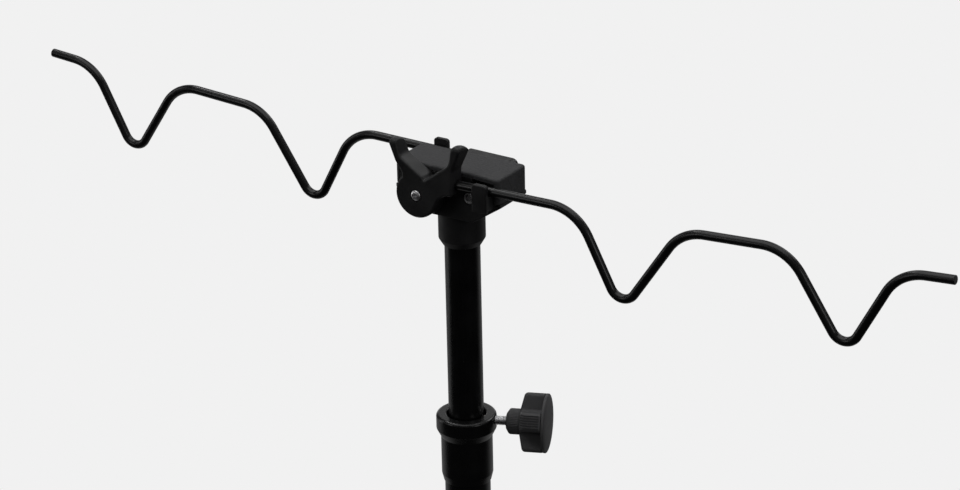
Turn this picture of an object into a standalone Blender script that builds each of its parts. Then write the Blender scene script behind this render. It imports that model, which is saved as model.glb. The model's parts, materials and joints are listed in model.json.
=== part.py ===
"""A rod tripod: a telescopic column on three folding legs, with a head that carries rods.

The head is a moulded block on a tube. Two bent steel arms fold up from its long sides, each with
two valleys that rods lie in, and the front arm's bracket has a forked cradle of its own. A collar
with a thumb screw clamps the head's tube in the column, and each leg has a smaller clamp.
Sizes are in metres, +Z is up, and the feet stand on Z = 0.
"""
import math
from collections import namedtuple

import bmesh
import bpy
from mathutils import Matrix, Vector

MM = 0.001

# Finishes
Finish = namedtuple("Finish", "colour roughness metallic")
COATED_WIRE = Finish((0.012, 0.012, 0.013), 0.32, 0.4)
BLACK_MOULDING = Finish((0.014, 0.014, 0.015), 0.55, 0.0)
GRAINED_COVER = Finish((0.045, 0.045, 0.047), 0.7, 0.0)
ANODISED_TUBE = Finish((0.012, 0.012, 0.013), 0.38, 0.6)
KNOB_MOULDING = Finish((0.05, 0.05, 0.052), 0.6, 0.0)
PALE_BUSH = Finish((0.55, 0.54, 0.5), 0.5, 0.0)
PLATED_STEEL = Finish((0.62, 0.62, 0.63), 0.25, 1.0)
DARK_STEEL = Finish((0.06, 0.06, 0.065), 0.4, 0.8)
BLACK_RUBBER = Finish((0.02, 0.02, 0.02), 0.85, 0.0)

# Fits
SEAT_GAP = 0.3 * MM
RUNNING_GAP = 0.3 * MM

# Rod arms: one bent wire each, measured along the arm from the column's axis
WIRE_CORE_DIAMETER = 5.0 * MM
WIRE_COATING = 0.3 * MM
FRONT_ROOT_RUN = 94.2 * MM
BACK_ROOT_RUN = 93.4 * MM
FIRST_VALLEY_FALL = 29.7 * MM
FIRST_VALLEY_CLIMB = 40.5 * MM
FIRST_VALLEY_DEPTH = 58.6 * MM
MIDDLE_RUN = 68.0 * MM
MIDDLE_RUN_RISE = 2.9 * MM
SECOND_VALLEY_FALL = 36.9 * MM
SECOND_VALLEY_CLIMB = 32.0 * MM
SECOND_VALLEY_DEPTH = 57.4 * MM
END_RUN = 34.0 * MM
END_RUN_RISE = 2.1 * MM
CREST_BEND_RADIUS = 29.0 * MM
VALLEY_BEND_RADIUS = 9.0 * MM
FRONT_ARM_RISE = math.radians(0.5)
BACK_ARM_RISE = math.radians(1.2)

# Head block, with levels measured from the arms' centre line
BLOCK_WIDTH = 30.0 * MM
BLOCK_LENGTH = 75.4 * MM
BLOCK_TOP = 6.5 * MM
BLOCK_END_FOOT = 12.2 * MM
HULL_BOTTOM_LENGTH = 35.0 * MM
HULL_DEPTH = 25.2 * MM
FOOT_LIP_HEIGHT = 2.5 * MM
COVER_THICKNESS = 3.0 * MM
FRONT_COVER_FLARE = 2.6 * MM
BACK_COVER_FLARE = 1.1 * MM
COVER_FLARE_START = 17.9 * MM
COVER_EDGE_ROUND = 1.4 * MM
COVER_CORNER = 2.6 * MM
SIDE_POCKET_DEPTH = 6.0 * MM
SIDE_POCKET_HEIGHT = 6.7 * MM
SOCKET_DIAMETER = 29.0 * MM
SOCKET_LENGTH = 17.2 * MM
SOCKET_CHAMFER_LENGTH = 4.4 * MM
SOCKET_CHAMFER_INSET = 2.6 * MM
SOCKET_ROOF = 5.2 * MM

# Rests that hold the arms level
REST_POST_LENGTH = 10.2 * MM
REST_POST_END_INSET = 2.6 * MM
REST_POST_CORNER = 2.2 * MM
FRONT_POST_TOP = 5.5 * MM
BACK_POST_TOP = 7.3 * MM

# Brackets and pivots
PIVOT_OFFSET = 15.2 * MM
PIVOT_DROP = 9.9 * MM
BRACKET_THICKNESS = 11.7 * MM
BRACKET_INNER_WALL = 2.5 * MM
BRACKET_EDGE_ROUND = 1.8 * MM
LOBE_RADIUS = 14.4 * MM
LOBE_TOP_TURN = math.radians(133.0)
UPPER_WAIST_RISE = 3.0 * MM
WAIST_TURN = math.radians(65.0)
WAIST_RADIUS = 10.0 * MM
MOUTH_REACH = 26.2 * MM
MOUTH_BELOW_WIRE = 6.5 * MM
MOUTH_CORNER = 2.2 * MM
WIRE_GRIP_LENGTH = 15.5 * MM
BACK_BRACKET_ABOVE_WIRE = 4.1 * MM
BACK_BRACKET_CHAMFER = 2.2 * MM
CRADLE_FLOOR_REACH = 6.2 * MM
CRADLE_FLOOR_ABOVE_WIRE = 0.8 * MM
CRADLE_HALF_SPAN = 17.9 * MM
CRADLE_OUTER_RISE = 12.8 * MM
CRADLE_INNER_RISE = 15.4 * MM
CRADLE_STEP_RUN = 1.5 * MM
CRADLE_STEP_RISE = 2.2 * MM
OUTER_HORN_ABOVE_WIRE = 27.0 * MM
INNER_HORN_ABOVE_WIRE = 24.5 * MM
OUTER_HORN_THICKNESS = 7.3 * MM
INNER_HORN_THICKNESS = 5.7 * MM
HORN_LEAN = 2.0 * MM
HORN_NECK = 2.6 * MM
HORN_NECK_ABOVE_WIRE = 10.0 * MM
HORN_TOP_FALL = 4.4 * MM
PIVOT_SHANK_DIAMETER = 4.0 * MM
PIVOT_HEAD_DIAMETER = 7.0 * MM
PIVOT_HEAD_HEIGHT = 3.2 * MM
PIVOT_HEAD_PROUD = 0.8 * MM
PIVOT_KEY_WIDTH = 3.0 * MM
PIVOT_KEY_DEPTH = 1.8 * MM
PIVOT_NUT_DIAMETER = 7.0 * MM
PIVOT_NUT_HEIGHT = 3.0 * MM

# Column
INNER_TUBE_DIAMETER = 22.0 * MM
INNER_TUBE_WALL = 1.5 * MM
INNER_TUBE_LENGTH = 430.0 * MM
OUTER_TUBE_DIAMETER = 28.6 * MM
OUTER_TUBE_WALL = 1.6 * MM
OUTER_TUBE_LENGTH = 400.0 * MM
HEAD_ABOVE_COLLAR = 161.2 * MM
BUSH_LENGTH = 30.0 * MM
END_PLUG_FLANGE = 3.0 * MM
END_PLUG_SPIGOT = 18.0 * MM

# Column clamp
COLLAR_RING_DIAMETER = 37.8 * MM
COLLAR_RING_HEIGHT = 9.4 * MM
COLLAR_NECK_CONE = 5.5 * MM
COLLAR_SLEEVE_DIAMETER = 32.3 * MM
COLLAR_SLEEVE_LENGTH = 25.4 * MM
COLLAR_CHAMFER_LENGTH = 4.9 * MM
COLLAR_BORE_DIAMETER = 24.6 * MM
COLLAR_SHOULDER_HEIGHT = 11.6 * MM
COLLAR_EDGE_ROUND = 0.9 * MM
CLAMP_AZIMUTH = math.radians(22.0)
CLAMP_BELOW_TOP = 4.2 * MM
CLAMP_SCREW_DIAMETER = 6.0 * MM
CLAMP_PAD_THICKNESS = 1.8 * MM
CLAMP_KNOB_START = 25.7 * MM
CLAMP_NECK_DIAMETER = 16.3 * MM
CLAMP_NECK_LENGTH = 8.6 * MM
CLAMP_HEAD_DIAMETER = 38.8 * MM
CLAMP_HEAD_LENGTH = 15.2 * MM
CLAMP_WING_WIDTH = 11.6 * MM
CLAMP_CAP_DIAMETER = 37.2 * MM
CLAMP_CAP_RIM = 1.2 * MM
CLAMP_CAP_DOME = 2.5 * MM
CLAMP_TURN_PHASE = math.radians(-25.0)

# Bevels of a knob's wings, as shares of their width, and the slope of their first faces
WING_START_BEVEL = 0.12
WING_END_BEVEL = 0.07
WING_START_SLOPE = 0.24

# Leg hub, with heights measured from the leg hinges
HINGE_RADIUS = 36.0 * MM
HUB_DIAMETER = 44.0 * MM
HUB_ABOVE_HINGE = 30.0 * MM
HUB_BELOW_HINGE = 25.0 * MM
HUB_LEDGE_HEIGHT = 7.0 * MM
HUB_LEDGE_WIDTH = 2.6 * MM
STOP_FACE_RADIUS = 23.0 * MM
EAR_THICKNESS = 5.0 * MM
EAR_RADIUS = 11.0 * MM
EAR_ROOT_ABOVE = 18.0 * MM
EAR_ROOT_BELOW = 15.0 * MM
HUB_PLUG_FLANGE = 2.4 * MM
HUB_PLUG_SPIGOT = 14.0 * MM

# Legs, measured along the leg from its hinge
LEG_COUNT = 3
FIRST_LEG_AZIMUTH = math.radians(-90.0)
LEG_SPLAY = math.radians(30.0)
TONGUE_THICKNESS = 14.0 * MM
TONGUE_WIDTH = 20.0 * MM
HEEL_HEIGHT = 12.0 * MM
SHOULDER_START = 18.0 * MM
SHOULDER_LENGTH = 8.0 * MM
LEG_SPIGOT_LENGTH = 30.0 * MM
HINGE_BOLT_DIAMETER = 6.0 * MM
HINGE_HEAD_DIAMETER = 10.0 * MM
HINGE_HEAD_HEIGHT = 4.0 * MM
HINGE_NUT_WIDTH = 10.0 * MM
HINGE_NUT_HEIGHT = 5.0 * MM
UPPER_LEG_DIAMETER = 25.0 * MM
LEG_TUBE_WALL = 1.2 * MM
UPPER_LEG_LENGTH = 380.0 * MM
LOWER_LEG_DIAMETER = 20.0 * MM
LOWER_LEG_LENGTH = 412.0 * MM
LEG_OVERLAP = 160.0 * MM
LEG_COLLAR_SLEEVE_DIAMETER = 30.0 * MM
LEG_COLLAR_SLEEVE_LENGTH = 26.0 * MM
LEG_COLLAR_RING_DIAMETER = 34.0 * MM
LEG_COLLAR_RING_HEIGHT = 13.0 * MM
LEG_COLLAR_BORE_GAP = 0.6 * MM
LEG_SCREW_DIAMETER = 5.0 * MM
LEG_PAD_THICKNESS = 1.6 * MM
LEG_KNOB_START = 21.0 * MM
LEG_NECK_DIAMETER = 12.0 * MM
LEG_NECK_LENGTH = 5.0 * MM
LEG_HEAD_DIAMETER = 28.0 * MM
LEG_HEAD_LENGTH = 12.0 * MM
LEG_WING_WIDTH = 8.6 * MM
LEG_CAP_DIAMETER = 27.4 * MM
LEG_CAP_RIM = 1.0 * MM
LEG_CAP_DOME = 2.0 * MM
LEG_BUSH_LENGTH = 27.0 * MM
LEG_BUSH_CAP = 2.7 * MM
LEG_BUSH_SPIGOT = 16.0 * MM
FOOT_BALL_RADIUS = 16.0 * MM
FOOT_FLAT_RADIUS = 9.0 * MM
FOOT_SOCKET_DEPTH = 26.0 * MM
FOOT_WALL = 2.7 * MM
FOOT_BALL_BEYOND_TUBE = 12.0 * MM

# Facets
TUBE_SIDES = 24
LEG_SIDES = 20
SMALL_SIDES = 16
WIRE_SIDES = 10
ARC_STEP = math.radians(15.0)
FINE_ARC_STEP = math.radians(11.0)
WING_ARC_STEP = math.radians(40.0)
NEAR = 0.05 * MM

# Sizes that follow from the ones above
WIRE_RADIUS = WIRE_CORE_DIAMETER / 2 + WIRE_COATING
WIRE_BORE_RADIUS = WIRE_RADIUS + SEAT_GAP
BRACKET_INNER_FACE = BLOCK_WIDTH / 2 + RUNNING_GAP
BRACKET_OUTER_FACE = BRACKET_INNER_FACE + BRACKET_THICKNESS
ARM_PLANE = BRACKET_INNER_FACE + BRACKET_INNER_WALL + WIRE_BORE_RADIUS
BLOCK_HALF_LENGTH = BLOCK_LENGTH / 2
COVER_UNDERSIDE = BLOCK_TOP - COVER_THICKNESS
BODY_TOP = COVER_UNDERSIDE - SEAT_GAP
BODY_HALF_LENGTH = BLOCK_HALF_LENGTH - COVER_THICKNESS - SEAT_GAP
INNER_TUBE_RADIUS = INNER_TUBE_DIAMETER / 2
OUTER_TUBE_RADIUS = OUTER_TUBE_DIAMETER / 2
OUTER_TUBE_BORE = OUTER_TUBE_RADIUS - OUTER_TUBE_WALL
SOCKET_BORE_TOP = BODY_TOP - SOCKET_ROOF
INNER_TUBE_TOP = SOCKET_BORE_TOP - SEAT_GAP
SOCKET_BOTTOM = -(HULL_DEPTH + SOCKET_LENGTH + SOCKET_CHAMFER_LENGTH)
UPPER_LEG_START = SHOULDER_START + SHOULDER_LENGTH + SEAT_GAP
UPPER_LEG_END = UPPER_LEG_START + UPPER_LEG_LENGTH
LOWER_LEG_START = UPPER_LEG_END - LEG_OVERLAP
LOWER_LEG_END = LOWER_LEG_START + LOWER_LEG_LENGTH
FOOT_CENTRE = LOWER_LEG_END + FOOT_BALL_BEYOND_TUBE
FOOT_CENTRE_HEIGHT = math.sqrt(FOOT_BALL_RADIUS ** 2 - FOOT_FLAT_RADIUS ** 2)
FOOT_CIRCLE_RADIUS = HINGE_RADIUS + FOOT_CENTRE * math.sin(LEG_SPLAY)
HINGE_HEIGHT = FOOT_CENTRE * math.cos(LEG_SPLAY) + FOOT_CENTRE_HEIGHT
OUTER_TUBE_BOTTOM = HINGE_HEIGHT - HUB_BELOW_HINGE + HUB_LEDGE_HEIGHT + SEAT_GAP
OUTER_TUBE_TOP = OUTER_TUBE_BOTTOM + OUTER_TUBE_LENGTH
COLLAR_TOP = OUTER_TUBE_TOP + SEAT_GAP + COLLAR_SHOULDER_HEIGHT
ARM_LEVEL = COLLAR_TOP + HEAD_ABOVE_COLLAR
LEG_AZIMUTHS = [FIRST_LEG_AZIMUTH + 2 * math.pi * i / LEG_COUNT for i in range(LEG_COUNT)]
FOOT_REACHES_Y = [FOOT_CIRCLE_RADIUS * math.sin(azimuth) for azimuth in LEG_AZIMUTHS]
COLUMN_Y = -(min(FOOT_REACHES_Y) + max(FOOT_REACHES_Y)) / 2
LEG_NAMES = ["front_leg", "right_leg", "left_leg"]


def clear_scene():
    """Removes what a new file holds."""
    for old in list(bpy.data.objects):
        bpy.data.objects.remove(old, do_unlink=True)


def make_material(name, finish):
    """Returns a piece's own material, plain and of one finish."""
    material = bpy.data.materials.new(name)
    material.use_nodes = True
    shader = material.node_tree.nodes["Principled BSDF"]
    shader.inputs["Base Color"].default_value = (*finish.colour, 1.0)
    shader.inputs["Roughness"].default_value = finish.roughness
    shader.inputs["Metallic"].default_value = finish.metallic
    return material


def add_empty(name, location, rotation=(0.0, 0.0, 0.0), parent=None):
    """Adds a frame that pieces are placed in."""
    empty = bpy.data.objects.new(name, None)
    empty.empty_display_size = 10 * MM
    empty.location = location
    empty.rotation_euler = rotation
    empty.parent = parent
    bpy.context.scene.collection.objects.link(empty)
    return empty


def add_object(name, shape, parent, finish=None):
    """Makes an object of a bmesh, in its parent's frame, with a material of its own."""
    bmesh.ops.recalc_face_normals(shape, faces=shape.faces[:])
    mesh = bpy.data.meshes.new(name)
    shape.to_mesh(mesh)
    shape.free()
    mesh.shade_smooth()
    mesh.set_sharp_from_angle(angle=math.radians(32.0))
    piece = bpy.data.objects.new(name, mesh)
    piece.parent = parent
    bpy.context.scene.collection.objects.link(piece)
    if finish is not None:
        mesh.materials.append(make_material(name, finish))
    return piece


def apply_tool(piece, shape, operation, label):
    """Joins a shape to a piece, or cuts it away, in the piece's own frame."""
    tool = add_object(f"{operation.lower()}_{piece.name}_{label}", shape, piece.parent)
    tool.hide_render = True
    tool.display_type = "WIRE"
    modifier = piece.modifiers.new(label, "BOOLEAN")
    modifier.operation = operation
    modifier.solver = "EXACT"
    modifier.object = tool


def cut(piece, shape, label):
    """Cuts a shape out of a piece."""
    apply_tool(piece, shape, "DIFFERENCE", label)


def join(piece, shape, label):
    """Joins a shape to a piece, as one body."""
    apply_tool(piece, shape, "UNION", label)


def turned(profile, sides=TUBE_SIDES):
    """Returns a shape turned about Z from a closed profile of (radius, height) points."""
    shape = bmesh.new()
    rings = []
    for radius, height in profile:
        if radius <= 0.0:
            rings.append([shape.verts.new((0.0, 0.0, height))])
            continue
        turns = [2 * math.pi * i / sides for i in range(sides)]
        rings.append([shape.verts.new((radius * math.cos(a), radius * math.sin(a), height)) for a in turns])
    for ring, following in zip(rings, rings[1:] + rings[:1]):
        if len(ring) == 1 and len(following) == 1:
            continue
        for i in range(sides):
            j = (i + 1) % sides
            if len(ring) == 1:
                shape.faces.new((ring[0], following[i], following[j]))
            elif len(following) == 1:
                shape.faces.new((ring[i], ring[j], following[0]))
            else:
                shape.faces.new((ring[i], ring[j], following[j], following[i]))
    return shape


def rod(radius, low, high, sides=SMALL_SIDES):
    """Returns a plain cylinder about Z."""
    return turned([(0.0, low), (radius, low), (radius, high), (0.0, high)], sides)


def pipe(outer, inner, low, high, sides=TUBE_SIDES):
    """Returns a tube about Z."""
    return turned([(inner, low), (outer, low), (outer, high), (inner, high)], sides)


def block(low, high):
    """Returns a box between two corners."""
    shape = bmesh.new()
    size = [b - a for a, b in zip(low, high)]
    middle = [(a + b) / 2 for a, b in zip(low, high)]
    bmesh.ops.create_cube(shape, size=1.0, matrix=Matrix.Translation(middle) @ Matrix.Diagonal((*size, 1.0)))
    return shape


def moved(shape, matrix):
    """Places a shape by a matrix."""
    bmesh.ops.transform(shape, matrix=matrix, verts=shape.verts[:])
    return shape


def along_x(shape, offset=(0.0, 0.0, 0.0)):
    """Turns a shape about Z so that it lies along X."""
    return moved(shape, Matrix.Translation(offset) @ Matrix.Rotation(math.pi / 2, 4, "Y"))


def along_y(shape, offset=(0.0, 0.0, 0.0)):
    """Turns a shape about Z so that it lies along Y."""
    return moved(shape, Matrix.Translation(offset) @ Matrix.Rotation(-math.pi / 2, 4, "X"))


def rounded_path(corners, closed, step=ARC_STEP):
    """Returns the points of a path through (across, up, radius) corners, with an arc at each."""
    points = []
    count = len(corners)
    for i, (across, up, radius) in enumerate(corners):
        corner = Vector((across, up))
        if radius <= 0.0 or (not closed and i in (0, count - 1)):
            points.append(corner)
            continue
        towards_last = (Vector(corners[i - 1][:2]) - corner).normalized()
        towards_next = (Vector(corners[(i + 1) % count][:2]) - corner).normalized()
        opening = towards_last.angle(towards_next)
        tangent_length = radius / math.tan(opening / 2)
        centre = corner + (towards_last + towards_next).normalized() * radius / math.sin(opening / 2)
        start = corner + towards_last * tangent_length - centre
        sweep = math.pi - opening
        turn = 1.0 if towards_last.cross(towards_next) < 0.0 else -1.0
        steps = max(2, math.ceil(sweep / step))
        for k in range(steps + 1):
            points.append(centre + Matrix.Rotation(turn * sweep * k / steps, 2) @ start)
    return [point for i, point in enumerate(points) if i == 0 or (point - points[i - 1]).length > NEAR]


def inset(outline, distance):
    """Returns a closed outline moved inwards, with its corners kept square to their sides."""
    area = sum(a.cross(b) for a, b in zip(outline, outline[1:] + outline[:1]))
    side = 1.0 if area > 0.0 else -1.0
    result = []
    for before, here, after in zip(outline[-1:] + outline[:-1], outline, outline[1:] + outline[:1]):
        into = (here - before).normalized()
        out = (after - here).normalized()
        normal_in = Vector((-into.y, into.x)) * side
        normal_out = Vector((-out.y, out.x)) * side
        middle = normal_in + normal_out
        result.append(here + middle * distance * 2 / middle.length_squared)
    return result


def plate(outline, levels):
    """Returns a plate whose outline lies in XZ, with (Y, inset) levels from front to back."""
    shape = bmesh.new()
    rings = []
    for depth, shrink in levels:
        ring = inset(outline, shrink) if shrink > 0.0 else outline
        rings.append([shape.verts.new((point.x, depth, point.y)) for point in ring])
    for ring, following in zip(rings, rings[1:]):
        for i in range(len(outline)):
            j = (i + 1) % len(outline)
            shape.faces.new((ring[i], ring[j], following[j], following[i]))
    shape.faces.new(rings[0])
    shape.faces.new(rings[-1])
    return shape


def bent_wire(points, radius, sides=WIRE_SIDES):
    """Returns a round wire along a path in XZ."""
    shape = bmesh.new()
    rings = []
    for i, point in enumerate(points):
        before = points[max(i - 1, 0)]
        after = points[min(i + 1, len(points) - 1)]
        along = (after - before).normalized()
        normal = Vector((-along.y, along.x))
        ring = []
        for k in range(sides):
            turn = 2 * math.pi * (k + 0.5) / sides
            place = point + normal * radius * math.cos(turn)
            ring.append(shape.verts.new((place.x, radius * math.sin(turn), place.y)))
        rings.append(ring)
    for ring, following in zip(rings, rings[1:]):
        for k in range(sides):
            n = (k + 1) % sides
            shape.faces.new((ring[k], ring[n], following[n], following[k]))
    shape.faces.new(rings[0])
    shape.faces.new(rings[-1])
    return shape


def dome(radius, low, rise, steps=4):
    """Returns profile points of a shallow dome that starts at the rim and ends on the axis."""
    return [(radius * math.cos(math.pi / 2 * k / steps), low + rise * math.sin(math.pi / 2 * k / steps))
            for k in range(1, steps + 1)]


def arm_wire_path(root_run):
    """Returns the bent path of one rod arm, about the pivot."""
    corners = [(MOUTH_REACH - WIRE_GRIP_LENGTH, PIVOT_DROP, 0.0)]
    across = PIVOT_OFFSET + root_run
    up = PIVOT_DROP
    corners.append((across, up, CREST_BEND_RADIUS))
    across += FIRST_VALLEY_FALL
    corners.append((across, up - FIRST_VALLEY_DEPTH, VALLEY_BEND_RADIUS))
    across += FIRST_VALLEY_CLIMB
    corners.append((across, up, CREST_BEND_RADIUS))
    across += MIDDLE_RUN
    up += MIDDLE_RUN_RISE
    corners.append((across, up, CREST_BEND_RADIUS))
    across += SECOND_VALLEY_FALL
    corners.append((across, up - SECOND_VALLEY_DEPTH, VALLEY_BEND_RADIUS))
    across += SECOND_VALLEY_CLIMB
    corners.append((across, up, CREST_BEND_RADIUS))
    corners.append((across + END_RUN, up + END_RUN_RISE, 0.0))
    return rounded_path(corners, closed=False, step=FINE_ARC_STEP)


def lobe_corners(arm_bottom):
    """Returns the corners of a bracket's round lobe and its lower waist, about the pivot."""
    foot_turn = 1.5 * math.pi + WAIST_TURN
    steps = math.ceil((foot_turn - LOBE_TOP_TURN) / ARC_STEP)
    turns = [LOBE_TOP_TURN + (foot_turn - LOBE_TOP_TURN) * k / steps for k in range(steps + 1)]
    corners = [(LOBE_RADIUS * math.cos(turn), LOBE_RADIUS * math.sin(turn), 0.0) for turn in turns]
    touch_across, touch_up = corners[-1][:2]
    climb = arm_bottom - touch_up
    corners.append((touch_across - climb * math.tan(foot_turn), arm_bottom, WAIST_RADIUS))
    return corners


def front_bracket_outline():
    """Returns the outline of the bracket that has the forked cradle, about the pivot."""
    bottom = PIVOT_DROP - MOUTH_BELOW_WIRE
    floor = PIVOT_DROP + CRADLE_FLOOR_ABOVE_WIRE
    neck = PIVOT_DROP + HORN_NECK_ABOVE_WIRE
    inner_foot = CRADLE_FLOOR_REACH - CRADLE_HALF_SPAN
    outer_foot = CRADLE_FLOOR_REACH + CRADLE_HALF_SPAN
    inner_top = PIVOT_DROP + INNER_HORN_ABOVE_WIRE
    outer_top = PIVOT_DROP + OUTER_HORN_ABOVE_WIRE
    lobe_top = (LOBE_RADIUS * math.cos(LOBE_TOP_TURN), LOBE_RADIUS * math.sin(LOBE_TOP_TURN))
    corners = lobe_corners(bottom) + [
        (MOUTH_REACH, bottom, MOUTH_CORNER),
        (outer_foot + HORN_NECK, neck, 5.0 * MM),
        (outer_foot + HORN_LEAN + OUTER_HORN_THICKNESS, outer_top, 2.8 * MM),
        (outer_foot + HORN_LEAN, outer_top, 3.4 * MM),
        (outer_foot, floor + CRADLE_OUTER_RISE, 8.0 * MM),
        (CRADLE_FLOOR_REACH, floor, 0.8 * MM),
        (CRADLE_FLOOR_REACH - CRADLE_STEP_RUN, floor + CRADLE_STEP_RISE, 2.5 * MM),
        (inner_foot, floor + CRADLE_INNER_RISE, 5.0 * MM),
        (inner_foot - HORN_LEAN, inner_top, 2.6 * MM),
        (inner_foot - HORN_LEAN - INNER_HORN_THICKNESS, inner_top, 2.6 * MM),
        (inner_foot - HORN_NECK, neck, 6.0 * MM),
        (lobe_top[0], lobe_top[1] + UPPER_WAIST_RISE, 2.0 * MM),
    ]
    return rounded_path(corners, closed=True)


def back_bracket_outline():
    """Returns the outline of the plain bracket, about the pivot."""
    top = PIVOT_DROP + BACK_BRACKET_ABOVE_WIRE
    corners = lobe_corners(PIVOT_DROP - MOUTH_BELOW_WIRE) + [
        (MOUTH_REACH, PIVOT_DROP - MOUTH_BELOW_WIRE, MOUTH_CORNER),
        (MOUTH_REACH, top, 2.5 * MM),
        (LOBE_RADIUS * math.cos(LOBE_TOP_TURN) + 1.5 * MM, top, 4.0 * MM),
    ]
    return rounded_path(corners, closed=True)


def horn_top_tool(low, high, top):
    """Returns a wedge that slopes a horn's top down towards the block."""
    beyond = 2 * MM
    fall = HORN_TOP_FALL / BRACKET_THICKNESS
    front = -BRACKET_OUTER_FACE - beyond
    back = -BRACKET_INNER_FACE + beyond
    front_top = PIVOT_DROP + top + beyond * fall
    back_top = PIVOT_DROP + top - (BRACKET_THICKNESS + beyond) * fall
    shape = bmesh.new()
    ends = []
    for across in (low, high):
        section = [
            (front, front_top),
            (back, back_top),
            (back, front_top + beyond),
            (front, front_top + beyond),
        ]
        ends.append([shape.verts.new((across, y, z)) for y, z in section])
    for i in range(4):
        j = (i + 1) % 4
        shape.faces.new((ends[0][i], ends[0][j], ends[1][j], ends[1][i]))
    shape.faces.new(ends[0])
    shape.faces.new(ends[1])
    return shape


def build_bracket(name, outline, outer_edge, frame):
    """Builds one arm's bracket, bored for the wire and the pivot bolt."""
    inner_edge = 0.8 * MM
    levels = [
        (-BRACKET_OUTER_FACE, outer_edge),
        (-BRACKET_OUTER_FACE + outer_edge * 0.3, outer_edge * 0.3),
        (-BRACKET_OUTER_FACE + outer_edge, 0.0),
        (-BRACKET_INNER_FACE - inner_edge, 0.0),
        (-BRACKET_INNER_FACE, inner_edge),
    ]
    bracket = add_object(name, plate(outline, levels), frame, BLACK_MOULDING)
    grip_start = MOUTH_REACH - WIRE_GRIP_LENGTH - SEAT_GAP
    bore = along_x(rod(WIRE_BORE_RADIUS, grip_start, MOUTH_REACH + MM), (0.0, -ARM_PLANE, PIVOT_DROP))
    cut(bracket, bore, "wire_bore")
    front = -BRACKET_OUTER_FACE
    shank_hole = rod(PIVOT_SHANK_DIAMETER / 2 + RUNNING_GAP, front - MM, -BRACKET_INNER_FACE + MM)
    cut(bracket, along_y(shank_hole), "pivot_hole")
    seat_depth = PIVOT_HEAD_HEIGHT - PIVOT_HEAD_PROUD + SEAT_GAP
    head_hole = rod(PIVOT_HEAD_DIAMETER / 2 + SEAT_GAP, front - MM, front + seat_depth)
    cut(bracket, along_y(head_hole), "head_hole")
    return bracket


def build_pivot(side, frame):
    """Builds the bolt that an arm turns on, and its round nut in the block's far face."""
    under_head = -BRACKET_OUTER_FACE + PIVOT_HEAD_HEIGHT - PIVOT_HEAD_PROUD
    top = under_head - PIVOT_HEAD_HEIGHT
    far_face = BLOCK_WIDTH / 2
    shank = PIVOT_SHANK_DIAMETER / 2
    head = PIVOT_HEAD_DIAMETER / 2
    profile = [
        (0.0, top),
        (head * 0.86, top),
        (head, top + head * 0.14),
        (head, under_head),
        (shank, under_head),
        (shank, far_face - 2 * SEAT_GAP),
        (0.0, far_face - 2 * SEAT_GAP),
    ]
    bolt = add_object(f"{side}_pivot_bolt", along_y(turned(profile, SMALL_SIDES)), frame, PLATED_STEEL)
    key = rod(PIVOT_KEY_WIDTH / math.sqrt(3), top - MM, top + PIVOT_KEY_DEPTH, sides=6)
    cut(bolt, along_y(key), "key")
    ring = pipe(PIVOT_NUT_DIAMETER / 2, shank + SEAT_GAP, far_face - PIVOT_NUT_HEIGHT, far_face, SMALL_SIDES)
    add_object(f"{side}_pivot_nut", along_y(ring), frame, DARK_STEEL)


def build_arm(side, rise, root_run, outline, outer_edge, frame):
    """Builds one rod arm about its pivot, and returns its bracket."""
    pivot = add_empty(f"{side}_arm_pivot", (-PIVOT_OFFSET, 0.0, -PIVOT_DROP), (0.0, 0.0, 0.0), frame)
    arm = add_empty(f"{side}_arm_frame", (0.0, 0.0, 0.0), (0.0, -rise, 0.0), pivot)
    bracket = build_bracket(f"{side}_arm_bracket", outline, outer_edge, arm)
    wire = moved(bent_wire(arm_wire_path(root_run), WIRE_RADIUS), Matrix.Translation((0.0, -ARM_PLANE, 0.0)))
    add_object(f"{side}_arm_wire", wire, arm, COATED_WIRE)
    build_pivot(side, pivot)
    return bracket


def rest_floor(rise):
    """Returns the level of the ledge under an arm, just below the wire."""
    ledge_start = PIVOT_OFFSET + BLOCK_HALF_LENGTH - REST_POST_END_INSET - REST_POST_LENGTH
    climb = ledge_start * math.tan(rise) + PIVOT_DROP * (1.0 / math.cos(rise) - 1.0)
    return climb - WIRE_RADIUS / math.cos(rise) - SEAT_GAP


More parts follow.
